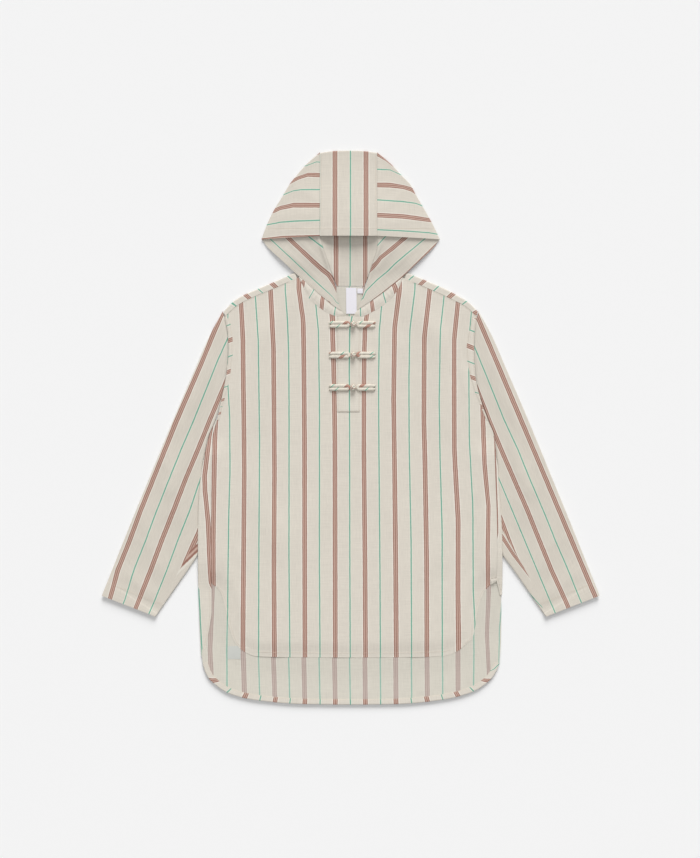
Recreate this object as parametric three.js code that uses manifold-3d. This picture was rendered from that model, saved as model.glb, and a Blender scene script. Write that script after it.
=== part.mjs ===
// A striped cotton hooded shirt, laid flat on its back.
// Millimetres. X runs across the shirt, Y runs from the tail up to the hood, +Z is up, and z = 0
// is the surface it lies on. Every piece is a cloth wall in its own closed mesh.
import * as THREE from 'three';
import { mergeVertices } from 'three/addons/utils/BufferGeometryUtils.js';
import Module from 'manifold-3d';

const wasm = await Module();
wasm.setup();

// ---- Driving sizes ----
const WALL = 1.2; // wall of the shirt cloth
const THIN = 1.0; // wall of bands, strips and labels
const SEAM = 0.3; // gap where two pieces are sewn edge to edge
const HOLLOW = 0.8; // gap between the two layers of a flattened tube
const LIFT = WALL + HOLLOW; // underside of an upper layer above its lower layer's underside
const PILE = LIFT + WALL; // height of a flattened tube
const TUCK = PILE + SEAM; // lift of the shirt's sides, which lie over the tucked sleeves
const HEM_TURN = 0.5; // extra thickness of a turned hem
const OVERLAP = 14; // width over which a rolled edge is one with the panel it belongs to
const MOUTH = 14; // rise of the crown's face edge over its flat fold
const ARC_STEPS = 4; // steps round a fold

// ---- Tables ----
const rows = (columns, ...values) =>
  values.map((row) => Object.fromEntries(columns.split(' ').map((name, i) => [name, row[i]])));

// The armhole seams, from the shoulder fold down to the underarm. The body's edge and the
// sleeve's edge lie half a seam gap to either side.
const ARMHOLES = rows(
  'place y leftX rightX',
  ['shoulder fold', 231, -255.6, 255.4],
  ['shoulder seam', 220, -252.0, 252.4],
  ['cap', 190, -246.4, 248.2],
  ['chest', 156, -245.0, 247.0],
  ['armhole', 110, -248.6, 249.2],
  ['armhole', 82, -252.8, 252.8],
  ['armhole', 50, -260.0, 261.8],
  ['side seam top', 14, -269.8, 274.4],
  ['wrap', -18, -283.6, 286.4],
  ['wrap', -56, -291.9, 290.6],
  ['underarm', -78, -296.0, 293.2],
);

// The sleeve's hidden edge, under the shirt's side from the underarm to where it comes out.
const SLEEVE_TUCK = rows(
  'place y leftX rightX',
  ['tuck', -110, -294.0, 288.6],
  ['tuck', -150, -294.0, 289.6],
  ['tuck', -200, -295.4, 292.6],
  ['tuck', -234, -299.4, 297.2],
  ['inner fold', -257, -305.8, 303.6],
);

// The front's side slits, from the end of the side seam down to the hem.
const FRONT_SLITS = rows(
  'place leftX leftY rightX rightY',
  ['slit', -272.0, -317, 281.6, -312.8],
  ['slit', -259.4, -332, 265.6, -332],
  ['slit', -250.2, -366, 253.6, -368],
  ['slit', -243.4, -398, 248.6, -400],
  ['slit', -234.2, -426, 243.8, -421.2],
  ['hem corner', -222.6, -442, 230.0, -435],
);

// The neckline on the front, and the neckband's inner edge under the hood.
const LEFT_NECK = rows(
  'place x y bandX bandY',
  ['shoulder', -104.4, 299.0, -98, 304],
  ['neck', -95.4, 282, -84, 291],
  ['neck', -85.4, 260, -68, 277],
  ['neck', -71.4, 246, -53, 262],
  ['neck', -41.4, 226, -32, 245],
  ['placket', -26.4, 221.4, -20, 237],
);
const RIGHT_NECK = rows(
  'place x y bandX bandY',
  ['shoulder', 104.6, 298, 99, 303],
  ['neck', 92.6, 272, 80, 287],
  ['neck', 72.6, 250, 61, 270],
  ['neck', 46.6, 232, 38, 252],
  ['placket', 20.6, 221.4, 15, 237],
);

const FRONT_HEM = rows(
  'place x y',
  ['left corner', -222.6, -442],
  ['left curve', -208, -452],
  ['left curve', -187.4, -458.5],
  ['straight', -101.4, -460.4],
  ['middle', 0, -460.8],
  ['straight', 98.6, -460.4],
  ['right curve', 184.6, -458],
  ['right curve', 212, -449],
  ['right corner', 230.0, -435],
);

// The back's shoulder folds and the seams they roll forward to.
const LEFT_SHOULDER = rows(
  'place foldX foldY seamX seamY',
  ['tip', -255.2, 231, -251.6, 220.8],
  ['shoulder', -233.4, 252, -228.4, 241.9],
  ['shoulder', -213.4, 264, -206.4, 254.6],
  ['shoulder', -195.4, 272, -189.4, 262.2],
  ['shoulder', -161.4, 286.4, -157.4, 275.3],
  ['shoulder', -131.4, 299.4, -127.4, 288.6],
  ['neck', -108.4, 309, -104.6, 299.3],
);
const RIGHT_SHOULDER = rows(
  'place foldX foldY seamX seamY',
  ['tip', 255.0, 231, 252.0, 220.8],
  ['shoulder', 234.6, 250, 230.2, 240.6],
  ['shoulder', 214.6, 262, 208.6, 252.4],
  ['shoulder', 192.6, 274, 186.6, 262.7],
  ['shoulder', 158.6, 289, 154.6, 277.2],
  ['shoulder', 130.6, 301, 127.0, 288.6],
  ['neck', 107.6, 309, 104.8, 298.3],
);

// Side folds of the back and the side seams they reach; below the slit the edge is the back's hem.
const LEFT_FLAP = rows(
  'place foldX foldY seamX seamY',
  ['side seam top', -269.6, 14, -267.2, 14],
  ['wrap', -283.4, -18, -275.7, -18],
  ['wrap', -291.7, -56, -278.0, -56],
  ['tuck', -297.4, -86, -278.5, -86],
  ['tuck', -302.0, -120, -278.9, -120],
  ['tuck', -304.8, -176, -279.3, -176],
  ['tuck', -305.4, -236, -279.5, -236],
  ['side', -305.3, -262, -279.3, -262],
  ['side', -305.1, -286, -279.0, -286],
  ['slit top', -304.8, -312.8, -278.5, -312.8],
  ['back slit', -304.2, -336, -276.6, -336],
  ['back slit', -303.2, -368, -275.4, -368],
  ['back slit', -302.2, -396, -280.0, -396],
  ['back slit', -300.8, -426, -287.0, -426],
  ['back slit', -298.9, -458, -294.8, -458],
);
const RIGHT_FLAP = rows(
  'place foldX foldY seamX seamY',
  ['wrap', 290.4, -56, 287.6, -56],
  ['tuck', 294.2, -86, 288.6, -86],
  ['tuck', 296.2, -120, 290.0, -120],
  ['tuck', 300.6, -176, 292.0, -176],
  ['tuck', 303.0, -236, 293.0, -236],
  ['side', 303.2, -262, 292.6, -262],
  ['side', 303.1, -286, 292.0, -286],
  ['slit top', 303.0, -304.8, 291.3, -304.8],
  ['back slit', 302.8, -318, 294.4, -318],
  ['back slit', 302.4, -336, 298.6, -336],
);

// The back's flat part: its neckline, side edges and tail.
const BACK_TOP = rows(
  'place x y',
  ['left tip', -251.4, 229],
  ['shoulder', -233.4, 248],
  ['shoulder', -195.4, 268],
  ['shoulder', -161.4, 282.4],
  ['shoulder', -131.4, 295.4],
  ['left neck', -106.4, 305.2],
  ['neckline', -64, 291],
  ['neckline', -28, 281.6],
  ['centre', 0, 281],
  ['neckline', 28, 281.6],
  ['neckline', 64, 291],
  ['right neck', 105.6, 305.2],
  ['shoulder', 130.6, 297],
  ['shoulder', 158.6, 285],
  ['shoulder', 192.6, 270],
  ['shoulder', 234.6, 246],
  ['right tip', 251.4, 229],
);
const BACK_SIDES = rows(
  'place y leftX rightX',
  ['tip', 229, -251.4, 251.4],
  ['armhole', 190, -246.2, 248.0],
  ['armhole', 156, -244.8, 246.8],
  ['armhole', 110, -248.4, 249.0],
  ['armhole', 82, -252.6, 252.6],
  ['armhole', 50, -259.8, 261.6],
  ['side seam top', 14, -266.0, 274.2],
  ['wrap', -18, -279.4, 286.2],
  ['wrap', -56, -287.7, 286.6],
  ['tuck', -86, -292.4, 289.2],
  ['tuck', -120, -298.0, 292.2],
  ['tuck', -176, -300.8, 296.6],
  ['tuck', -236, -301.4, 299.0],
  ['side', -262, -301.3, 299.2],
  ['side', -286, -301.1, 299.1],
  ['slit top', -312.8, -300.8, 299.0],
  ['side', -336, -300.2, 300.0],
  ['side', -368, -299.2, 301.2],
  ['side', -396, -298.2, 301.0],
  ['side', -426, -296.8, 300.4],
  ['tail corner', -472, -295.4, 296.8],
);
const BACK_TAIL = rows(
  'place x y',
  ['left corner', -295.4, -472],
  ['left curve', -287, -496],
  ['left curve', -268, -516],
  ['left curve', -240, -533],
  ['left curve', -182.6, -546],
  ['straight', -93.4, -553],
  ['middle', 0, -554],
  ['straight', 90.6, -553],
  ['right curve', 184.6, -544],
  ['right curve', 242, -529],
  ['right curve', 270, -512],
  ['right curve', 288, -492],
  ['right corner', 296.8, -472],
);

// Sleeves: outer and inner fold, mirrored for the left sleeve.
const SLEEVE_OUTER = rows(
  'place x y',
  ['tip', 256.2, 231.4],
  ['upper arm', 281.4, 182],
  ['upper arm', 306.4, 123],
  ['elbow', 347.4, 26],
  ['forearm', 401.4, -106],
  ['forearm', 449.4, -222],
  ['cuff', 497.4, -337],
);
const SLEEVE_INNER = rows(
  'place x y',
  ['inner fold', 305.8, -257],
  ['forearm', 326.8, -287.5],
  ['forearm', 348.4, -318.5],
  ['cuff', 390.0, -379],
);

// Hood: half outline from the crown fold to the face corner, and the lower seams of its centre.
const HOOD_OUTLINE = rows(
  'place leftX rightX y',
  ['crown', -61.7, 52.9, 554],
  ['crown', -89.4, 81.8, 526],
  ['side', -109, 102.6, 502],
  ['side', -122.4, 119, 485],
  ['side', -135.4, 131, 463],
  ['side', -154.2, 149, 432],
  ['side', -168.2, 165, 403],
  ['face corner', -178.4, 178.4, 375],
);
const HOOD_CENTRE_SEAM = rows(
  'place leftX rightX y',
  ['crown', -61.4, 52.6, 550],
  ['back', -61.4, 52.6, 474],
  ['back', -61.4, 54.6, 384],
  ['back', -54.4, 52.6, 356],
  ['nape', -45.4, 44.6, 330],
  ['nape', -37.4, 36.6, 306],
  ['nape', -27.4, 26.6, 280],
  ['front neck', -22.4, 19.6, 257],
  ['front neck', -15.4, 12.6, 235],
);
const FACE_EDGE_Y = 384;
const CROWN_Y = 554;
const NAPE_Y = 282; // lower end of the hood's centre panel

const ARMHOLE_STRIP_WIDTH = 10;
const ARMHOLE_STRIP_END = 14; // the strip runs down the front's armhole to this height

const PLACKET = { left: -27.4, right: 18.6, top: 221.0, bottom: 29.0 };
const TOGGLE = { left: -44.4, right: 50.6, knotX: 4.9, knotRadius: 5.0 };
const ROULEAU = { halfWidth: 3.2, halfHeight: 2.2, pitch: 6.8 };
const TOGGLE_ROWS = rows('place y', ['upper', 204.8], ['middle', 143.6], ['lower', 78.8]);

const MAIN_LABEL = { left: -9.4, right: 11.4, top: 278.4, bottom: 226.4 };
const SIZE_TAG = { left: 13.4, right: 24.2, top: 277, bottom: 267 };

// Soft folds that raise the upper layer: a ridge from one end to the other, and its size.
const BODY_FOLDS = rows(
  'place fromX fromY toX toY width height',
  ['left chest', -172, 180, -190, 30, 24, 1.9],
  ['left shoulder', -120, 255, -214, 120, 26, 1.2],
  ['right chest', 176, 185, 188, 20, 24, 2.0],
  ['right shoulder', 118, 250, 206, 140, 24, 1.2],
  ['under placket', -10, 12, -40, -150, 30, 1.2],
  ['left waist', -232, -60, -150, -220, 28, 1.6],
  ['right waist', 240, -90, 170, -260, 26, 1.4],
  ['left skirt', -120, -210, -150, -420, 30, 1.3],
  ['right skirt', 96, -190, 128, -410, 30, 1.4],
  ['middle', 62, 80, 40, -120, 34, 1.1],
);
const SLEEVE_FOLDS = rows(
  'place fromX fromY toX toY width height',
  ['armhole', 285, 120, 330, 10, 18, 1.6],
  ['elbow inside', 352, -120, 318, -40, 16, 1.8],
  ['elbow', 372, -60, 350, -170, 18, 1.4],
  ['forearm', 420, -170, 388, -270, 18, 1.4],
  ['above cuff', 440, -300, 405, -330, 16, 1.2],
);

// ---- Heights ----
const smooth = THREE.MathUtils.smoothstep;
const clamp = THREE.MathUtils.clamp;

function foldHeight(folds, x, y) {
  let height = 0;
  for (const fold of folds) {
    const alongX = fold.toX - fold.fromX;
    const alongY = fold.toY - fold.fromY;
    const length = Math.hypot(alongX, alongY);
    const along = ((x - fold.fromX) * alongX + (y - fold.fromY) * alongY) / length;
    const across = ((x - fold.fromX) * alongY - (y - fold.fromY) * alongX) / length;
    const past = along - clamp(along, 0, length);
    const spread = (across / fold.width) ** 2 + (past / (1.6 * fold.width)) ** 2;
    height += fold.height * Math.exp(-spread);
  }
  return height;
}

// Lift of both layers of the shirt's sides over the tucked part of the sleeves.
function tuckLift(x, y) {
  const along = smooth(-y, 16, 62) * (1 - smooth(-y, 258, 330));
  return TUCK * along * smooth(Math.abs(x), 232, 270);
}

const bodyOver = (x, y) => {
  const inside = 1 - smooth(Math.abs(x), 176, 222);
  return LIFT + tuckLift(x, y) + inside * foldHeight(BODY_FOLDS, x, y);
};
const bodyUnder = tuckLift;
const bodyTop = (x, y) => bodyOver(x, y) + WALL;

const sleeveOver = (x, y) => {
  const reach = Math.abs(x);
  const clearOfSide = Math.min(smooth(reach, 308, 330) + smooth(y, 0, 60), 1) * smooth(reach, 258, 280);
  return LIFT + clearOfSide * foldHeight(SLEEVE_FOLDS, reach, y);
};

// The hood's lower layer rises over the shirt's neck.
const neckRise = (x, y) => TUCK * (1 - smooth(y, 318, 372));

function valueAt(table, key, y) {
  const above = table.findIndex((row) => row.y <= y);
  if (above <= 0) return above === 0 ? table[0][key] : table[table.length - 1][key];
  const [a, b] = [table[above - 1], table[above]];
  return THREE.MathUtils.mapLinear(y, a.y, b.y, a[key], b[key]);
}

function crownOver(x, y) {
  const half = x < 0 ? -valueAt(HOOD_OUTLINE, 'leftX', y) : valueAt(HOOD_OUTLINE, 'rightX', y);
  const across = clamp(Math.abs(x) / half, 0, 1);
  const down = (CROWN_Y - y) / (CROWN_Y - FACE_EDGE_Y);
  return LIFT + MOUTH * (1 - across ** 2) * smooth(down, 0, 1);
}

// ---- Curves and grids ----
const point = (x, y) => new THREE.Vector2(x, y);
const pointsOf = (table, x = 'x', y = 'y') => table.map((row) => point(row[x], row[y]));

const smoothTrack = (points) => {
  const curve = new THREE.SplineCurve(points);
  return (t) => curve.getPointAt(clamp(t, 0, 1));
};

const straightTrack = (points) => {
  const path = new THREE.CurvePath();
  points.slice(1).forEach((end, i) => path.add(new THREE.LineCurve(points[i], end)));
  return (t) => path.getPoint(clamp(t, 0, 1));
};

// A curve given by its x, for edges that run across the shirt.
const trackByX = (points) => (u) => {
  const x = THREE.MathUtils.lerp(points[0].x, points[points.length - 1].x, u);
  const next = Math.max(1, points.findIndex((p) => p.x >= x - 1e-9));
  const [a, b] = [points[next - 1], points[next]];
  return point(x, THREE.MathUtils.mapLinear(x, a.x, b.x, a.y, b.y));
};

// Coons patch: a surface that meets four edge curves.
function patch(top, bottom, left, right) {
  const corners = [top(0), top(1), bottom(0), bottom(1)];
  return (u, v) =>
    top(u).multiplyScalar(1 - v).addScaledVector(bottom(u), v)
      .addScaledVector(left(v), 1 - u).addScaledVector(right(v), u)
      .addScaledVector(corners[0], -(1 - u) * (1 - v)).addScaledVector(corners[1], -u * (1 - v))
      .addScaledVector(corners[2], -(1 - u) * v).addScaledVector(corners[3], -u * v);
}

const steps = (count) => Array.from({ length: count + 1 }, (_, i) => i / count);

// How far along its length each row of a table lies, from 0 to 1.
function shares(points) {
  const lengths = points.map((p, i) => (i ? p.distanceTo(points[i - 1]) : 0));
  const total = lengths.reduce((sum, length) => sum + length, 0);
  let reached = 0;
  return lengths.map((length) => (reached += length) / total);
}

// ---- Closed walls ----
function finish(positions, triangles) {
  const geometry = new THREE.BufferGeometry();
  geometry.setAttribute('position', new THREE.Float32BufferAttribute(positions.flat(), 3));
  geometry.setIndex(triangles.flat());
  const merged = mergeVertices(geometry, 1e-3);
  const index = Array.from(merged.index.array);
  const kept = [];
  for (let i = 0; i < index.length; i += 3) {
    const [a, b, c] = index.slice(i, i + 3);
    if (a !== b && b !== c && c !== a) kept.push(a, b, c);
  }
  merged.setIndex(kept);
  if (volume(merged) < 0) {
    for (let i = 0; i < kept.length; i += 3) [kept[i + 1], kept[i + 2]] = [kept[i + 2], kept[i + 1]];
    merged.setIndex(kept);
  }
  return merged;
}

function volume(geometry) {
  const [a, b, c] = [new THREE.Vector3(), new THREE.Vector3(), new THREE.Vector3()];
  const { position } = geometry.attributes;
  const { array } = geometry.index;
  let total = 0;
  for (let i = 0; i < array.length; i += 3) {
    [a, b, c].forEach((corner, k) => corner.fromBufferAttribute(position, array[i + k]));
    total += a.dot(b.cross(c)) / 6;
  }
  return total;
}

// A wall between an outer and an inner grid of points. A closed wall runs round in its rows.
function wall(outer, inner, closed = false) {
  const height = outer.length;
  const width = outer[0].length;
  const positions = [...outer.flat(), ...inner.flat()];
  const at = (side, j, i) => side * width * height + j * width + (i % width);
  const triangles = [];
  const quad = (a, b, c, d) => triangles.push([a, b, c], [a, c, d]);
  const spans = closed ? width : width - 1;
  for (let j = 0; j < height - 1; j += 1) {
    for (let i = 0; i < spans; i += 1) {
      quad(at(0, j, i), at(0, j, i + 1), at(0, j + 1, i + 1), at(0, j + 1, i));
      quad(at(1, j, i), at(1, j + 1, i), at(1, j + 1, i + 1), at(1, j, i + 1));
    }
    if (!closed) {
      quad(at(0, j, 0), at(0, j + 1, 0), at(1, j + 1, 0), at(1, j, 0));
      quad(at(0, j, width - 1), at(1, j, width - 1), at(1, j + 1, width - 1), at(0, j + 1, width - 1));
    }
  }
  for (let i = 0; i < spans; i += 1) {
    quad(at(0, 0, i), at(1, 0, i), at(1, 0, i + 1), at(0, 0, i + 1));
    quad(at(0, height - 1, i), at(0, height - 1, i + 1), at(1, height - 1, i + 1), at(1, height - 1, i));
  }
  return finish(positions, triangles);
}

// A single layer over a plan: its underside at low(x, y), its top at low + thick(u, v).
function layer(plan, us, vs, low, thick) {
  const grid = (lifted) => vs.map((v) => us.map((u) => {
    const p = plan(u, v);
    return [p.x, p.y, low(p.x, p.y) + (lifted ? thick(u, v) : 0)];
  }));
  return wall(grid(true), grid(false));
}

// One side of a fold: points from the fold's start to the far end, on the upper or lower layer.
function run(from, to, count, height) {
  return steps(count).slice(1).map((t) => {
    const p = from.clone().lerp(to, t);
    return [p.x, p.y, height(p.x, p.y)];
  });
}

// The round of a fold at a point of its edge; inward is the way into the garment.
function round(edge, inward, low, high, depth) {
  const radius = (high + WALL - low) / 2;
  const centre = edge.clone().addScaledVector(inward, radius);
  const arc = steps(ARC_STEPS).map((t) => {
    const angle = Math.PI * (t - 0.5);
    const reach = (radius - depth) * Math.cos(angle);
    const p = centre.clone().addScaledVector(inward, -reach);
    return [p.x, p.y, low + radius + (radius - depth) * Math.sin(angle)];
  });
  return { centre, arc };
}

// A row of a folded piece: from the lower end, round the fold, to the upper end.
function foldedRow({ edge, lowerEnd, upperEnd, lowerCount, upperCount, under, over }, depth) {
  const towards = (end) => end.clone().sub(edge).normalize();
  const inward = towards(lowerEnd).add(towards(upperEnd)).normalize();
  const low = under(edge.x, edge.y);
  const high = over(edge.x, edge.y);
  const { centre, arc } = round(edge, inward, low, high, depth);
  const lower = run(centre, lowerEnd, lowerCount, (x, y) => under(x, y) + depth).reverse();
  const upper = run(centre, upperEnd, upperCount, (x, y) => over(x, y) + WALL - depth);
  return [...lower, ...arc, ...upper];
}

function folded(foldRows) {
  const surface = (depth) => foldRows.map((row) => foldedRow(row, depth));
  return wall(surface(0), surface(WALL));
}

// ---- Joining a panel with its rolled edges ----
function solidOf(geometry) {
  return new wasm.Manifold(new wasm.Mesh({
    numProp: 3,
    vertProperties: new Float32Array(geometry.attributes.position.array),
    triVerts: new Uint32Array(geometry.index.array),
  }));
}

function joined(...geometries) {
  const mesh = geometries.map(solidOf).reduce((all, next) => all.add(next)).getMesh();
  const geometry = new THREE.BufferGeometry();
  geometry.setAttribute('position', new THREE.BufferAttribute(mesh.vertProperties, 3));
  geometry.setIndex(new THREE.BufferAttribute(mesh.triVerts, 1));
  return geometry;
}

// A rolled edge: its lower part lies inside the panel's wall, so that the two are one.
const ROLL_SINK = 0.1;
function rolledEdge(table, inwardAt, under, over) {
  return folded(table.map((row) => {
    const edge = point(row.foldX, row.foldY);
    return {
      edge,
      lowerEnd: edge.clone().addScaledVector(inwardAt(row), OVERLAP),
      upperEnd: point(row.seamX, row.seamY),
      lowerCount: 1,
      upperCount: 2,
      under: (x, y) => under(x, y) + ROLL_SINK,
      over,
    };
  }));
}

// ---- Materials ----
const finishOf = (color, roughness) => new THREE.MeshStandardMaterial({ color, roughness, metalness: 0 });
const CLOTH = finishOf('#dcd4c8', 0.9);
const INSIDE = finishOf('#d2ccbf', 0.9);
const BAND = finishOf('#d8cdbd', 0.9);
const BIAS = finishOf('#e4e0d0', 0.85);
const LABEL = finishOf('#f2f0f4', 0.6);

const shirt = new THREE.Group();
function add(name, geometry, material) {
  const mesh = new THREE.Mesh(geometry, material);
  mesh.name = name;
  shirt.add(mesh);
}

// ---- Front and back ----
const BODY_HEM_SHARE = 0.966; // where down the front its turned hem starts
const TAIL_HEM_SHARE = 0.981; // where down the back its turned hem starts
const MIDDLE = 0.495; // one more column, in the placket
const BACK_EDGE_SHARES = [0.012, 0.075, 0.93, 0.985]; // more columns at the back's sides
const hemRows = (share) => [share, share + 0.001];
const panelPlan = (top, bottom, left, right) =>
  patch(trackByX(top), trackByX(bottom), straightTrack(left), straightTrack(right));

function acrossShares(top) {
  const span = top[top.length - 1].x - top[0].x;
  return top.map((p) => (p.x - top[0].x) / span);
}

const rowShares = (points, share) =>
  [...shares(points).filter((v) => v < share - 0.01), ...hemRows(share), 1];

// The front's side edge: armhole, side seam beside the back's flap, and slit.
function frontSide(side) {
  const [armX, x, y] = side < 0 ? ['leftX', 'leftX', 'leftY'] : ['rightX', 'rightX', 'rightY'];
  const flap = side < 0 ? LEFT_FLAP : RIGHT_FLAP;
  const armEnd = flap[0].foldY;
  const armhole = ARMHOLES.filter((row) => row.y > armEnd && row.place !== 'shoulder fold');
  const slitTop = flap.findIndex((row) => row.place === 'slit top');
  return [
    ...armhole.map((row) => point(row[armX] - side * SEAM, row.y)),
    ...flap.slice(0, slitTop + 1).map((row) => point(row.seamX - side * SEAM, row.seamY)),
    ...pointsOf(FRONT_SLITS, x, y),
  ];
}

// The front's upper edge: left shoulder seam, neckline, right shoulder seam.
function frontUpperEdge(left, right) {
  const shoulder = (table) => table.slice(1, -1).map((row) => point(row.seamX, row.seamY - 2 * SEAM));
  return [
    left,
    ...shoulder(LEFT_SHOULDER),
    ...pointsOf(LEFT_NECK).map((p) => point(p.x, p.y - SEAM)),
    ...pointsOf(RIGHT_NECK).map((p) => point(p.x, p.y - SEAM)).reverse(),
    ...shoulder(RIGHT_SHOULDER).reverse(),
    right,
  ];
}

function frontPanel() {
  const left = frontSide(-1);
  const right = frontSide(1);
  const top = frontUpperEdge(left[0], right[0]);
  const plan = panelPlan(top, pointsOf(FRONT_HEM), left, right);
  const us = [...acrossShares(top), MIDDLE].sort((a, b) => a - b);
  const vs = rowShares(left, BODY_HEM_SHARE);
  const isHem = (v) => v > BODY_HEM_SHARE;
  const grid = (depth) => vs.map((v) => us.map((u) => {
    const p = plan(u, v);
    return [p.x, p.y, bodyTop(p.x, p.y) - (depth ? WALL + (isHem(v) ? HEM_TURN : 0) : 0)];
  }));
  return wall(grid(0), grid(1));
}

function backPanel() {
  const left = pointsOf(BACK_SIDES, 'leftX');
  const right = pointsOf(BACK_SIDES, 'rightX');
  const top = pointsOf(BACK_TOP);
  const plan = panelPlan(top, pointsOf(BACK_TAIL), left, right);
  const columns = [...acrossShares(top), ...BACK_EDGE_SHARES].sort((a, b) => a - b);
  const thick = (u, v) => WALL + (v > TAIL_HEM_SHARE ? HEM_TURN : 0);
  const main = layer(plan, columns, rowShares(left, TAIL_HEM_SHARE), bodyUnder, thick);
  const slope = (row) => point(Math.sign(-row.foldX) * 0.4, -0.92).normalize();
  const inwards = (row) => point(-Math.sign(row.foldX), 0);
  return joined(
    main,
    rolledEdge(LEFT_SHOULDER, slope, bodyUnder, bodyOver),
    rolledEdge(RIGHT_SHOULDER, slope, bodyUnder, bodyOver),
    rolledEdge(LEFT_FLAP, inwards, bodyUnder, bodyOver),
    rolledEdge(RIGHT_FLAP, inwards, bodyUnder, bodyOver),
  );
}

// ---- Sleeves ----
const SLEEVE_ROWS = 14;
const CUFF_HEM_SHARE = 0.955;

function sleeve(side) {
  const mirrored = (table) => pointsOf(table).map((p) => point(side * p.x, p.y));
  const key = side < 0 ? 'leftX' : 'rightX';
  const seam = [...ARMHOLES, ...SLEEVE_TUCK].map((row) => point(row[key] + side * SEAM, row.y));
  const outer = mirrored(SLEEVE_OUTER);
  const inner = mirrored(SLEEVE_INNER);
  outer[0].copy(seam[0]);
  inner[0].copy(seam[seam.length - 1]);
  const cuff = straightTrack([outer[outer.length - 1], inner[inner.length - 1]]);
  const plan = patch(straightTrack(seam), cuff, smoothTrack(outer), smoothTrack(inner));
  const us = shares(seam);
  const vs = [...steps(SLEEVE_ROWS).slice(0, -1), ...hemRows(CUFF_HEM_SHARE), 1];
  const loop = (v, depth) => {
    const line = us.map((u) => plan(u, v));
    const hem = v > CUFF_HEM_SHARE && depth ? HEM_TURN / 2 : 0;
    const ends = [[line[0], line[1]], [line[us.length - 1], line[us.length - 2]]];
    const [start, end] = ends.map(([edge, next]) => {
      const inward = next.clone().sub(edge).normalize();
      return round(edge, inward, 0, sleeveOver(edge.x, edge.y), depth + hem);
    });
    const middle = line.slice(1, -1);
    const lower = middle.map((p) => [p.x, p.y, depth + hem]);
    const upper = middle.map((p) => [p.x, p.y, sleeveOver(p.x, p.y) + WALL - depth - hem]);
    return [...start.arc, ...upper, ...end.arc.reverse(), ...lower.reverse()];
  };
  return wall(vs.map((v) => loop(v, 0)), vs.map((v) => loop(v, WALL)), true);
}

// ---- Hood ----
const HOOD_ROWS = 12;
const HOOD_TOP_STEPS = 6;
const HOOD_BACK_STEPS = 8;

function hoodSide(side) {
  const key = side < 0 ? 'leftX' : 'rightX';
  const gap = side * 3 * SEAM;
  const outline = smoothTrack(pointsOf(HOOD_OUTLINE, key));
  const seamPoints = pointsOf(HOOD_CENTRE_SEAM, key).map((p) => point(p.x + gap, p.y));
  const seam = smoothTrack(seamPoints);
  const seamX = seamPoints[0].x;
  return folded(steps(HOOD_ROWS).map((t) => ({
    edge: outline(t),
    lowerEnd: seam(t),
    upperEnd: point(seamX, THREE.MathUtils.lerp(seamPoints[0].y, FACE_EDGE_Y, t)),
    lowerCount: HOOD_BACK_STEPS,
    upperCount: HOOD_TOP_STEPS,
    under: neckRise,
    over: crownOver,
  })));
}

function hoodCentre() {
  const across = steps(4);
  const xAt = (y, u) => THREE.MathUtils.lerp(
    valueAt(HOOD_CENTRE_SEAM, 'leftX', y), valueAt(HOOD_CENTRE_SEAM, 'rightX', y), u);
  const widest = HOOD_CENTRE_SEAM[0];
  const backYs = [NAPE_Y, 292, 306, 318, 330, 343, 356, 370, FACE_EDGE_Y, 430, 490, 535];
  const topRun = steps(7).slice(1).map((t) => THREE.MathUtils.lerp(CROWN_Y - PILE, FACE_EDGE_Y, t));
  const path = (u, depth) => {
    const trough = (2 * u - 1) ** 2;
    const lower = backYs.map((y) => [xAt(y, u), y, neckRise(0, y) * trough + depth]);
    const x = THREE.MathUtils.lerp(widest.leftX, widest.rightX, u);
    const { arc } = round(point(x, CROWN_Y), point(0, -1), 0, LIFT, depth);
    const upper = topRun.map((y) => [x, y, crownOver(x, y) + WALL - depth]);
    return [...lower, ...arc, ...upper];
  };
  return wall(across.map((u) => path(u, 0)), across.map((u) => path(u, WALL)));
}

// ---- What lies on or between the panels ----
function neckband(table) {
  const outer = straightTrack(pointsOf(table));
  const inner = straightTrack(pointsOf(table, 'bandX', 'bandY'));
  const plan = (u, v) => outer(v).lerp(inner(v), u);
  return layer(plan, steps(2), shares(pointsOf(table)), () => LIFT, () => WALL);
}

// A strip that lies on the front, made from the front's points, moved out.
const onFront = (x, y) => bodyTop(x, y) + SEAM;

function armholeStrip(side) {
  const seam = smoothTrack(frontSide(side).filter((p) => p.y >= ARMHOLE_STRIP_END));
  const plan = (u, v) => {
    const p = seam(v);
    return point(p.x - side * (SEAM + u * ARMHOLE_STRIP_WIDTH * (1 - 0.5 * v)), p.y - 3 * (1 - v));
  };
  return layer(plan, steps(2), steps(12), onFront, () => THIN);
}

const rectangle = ({ left, right, top, bottom }) => (u, v) =>
  point(THREE.MathUtils.lerp(left, right, u), THREE.MathUtils.lerp(top, bottom, v));

const placket = () => layer(rectangle(PLACKET), steps(3), steps(10), onFront, () => THIN);

const insideLabel = (label) =>
  layer(rectangle(label), steps(2), steps(3), () => WALL + SEAM, () => THIN * 0.6);

// ---- Toggles ----
// A rouleau runs out from its sewn end, turns back on itself beside the knot and returns.
const onPlacket = (x, y) => {
  const left = smooth(x, PLACKET.left - 6, PLACKET.left);
  const right = smooth(x, PLACKET.right, PLACKET.right + 6);
  return onFront(x, y) + (THIN + SEAM) * left * (1 - right);
};

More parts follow.
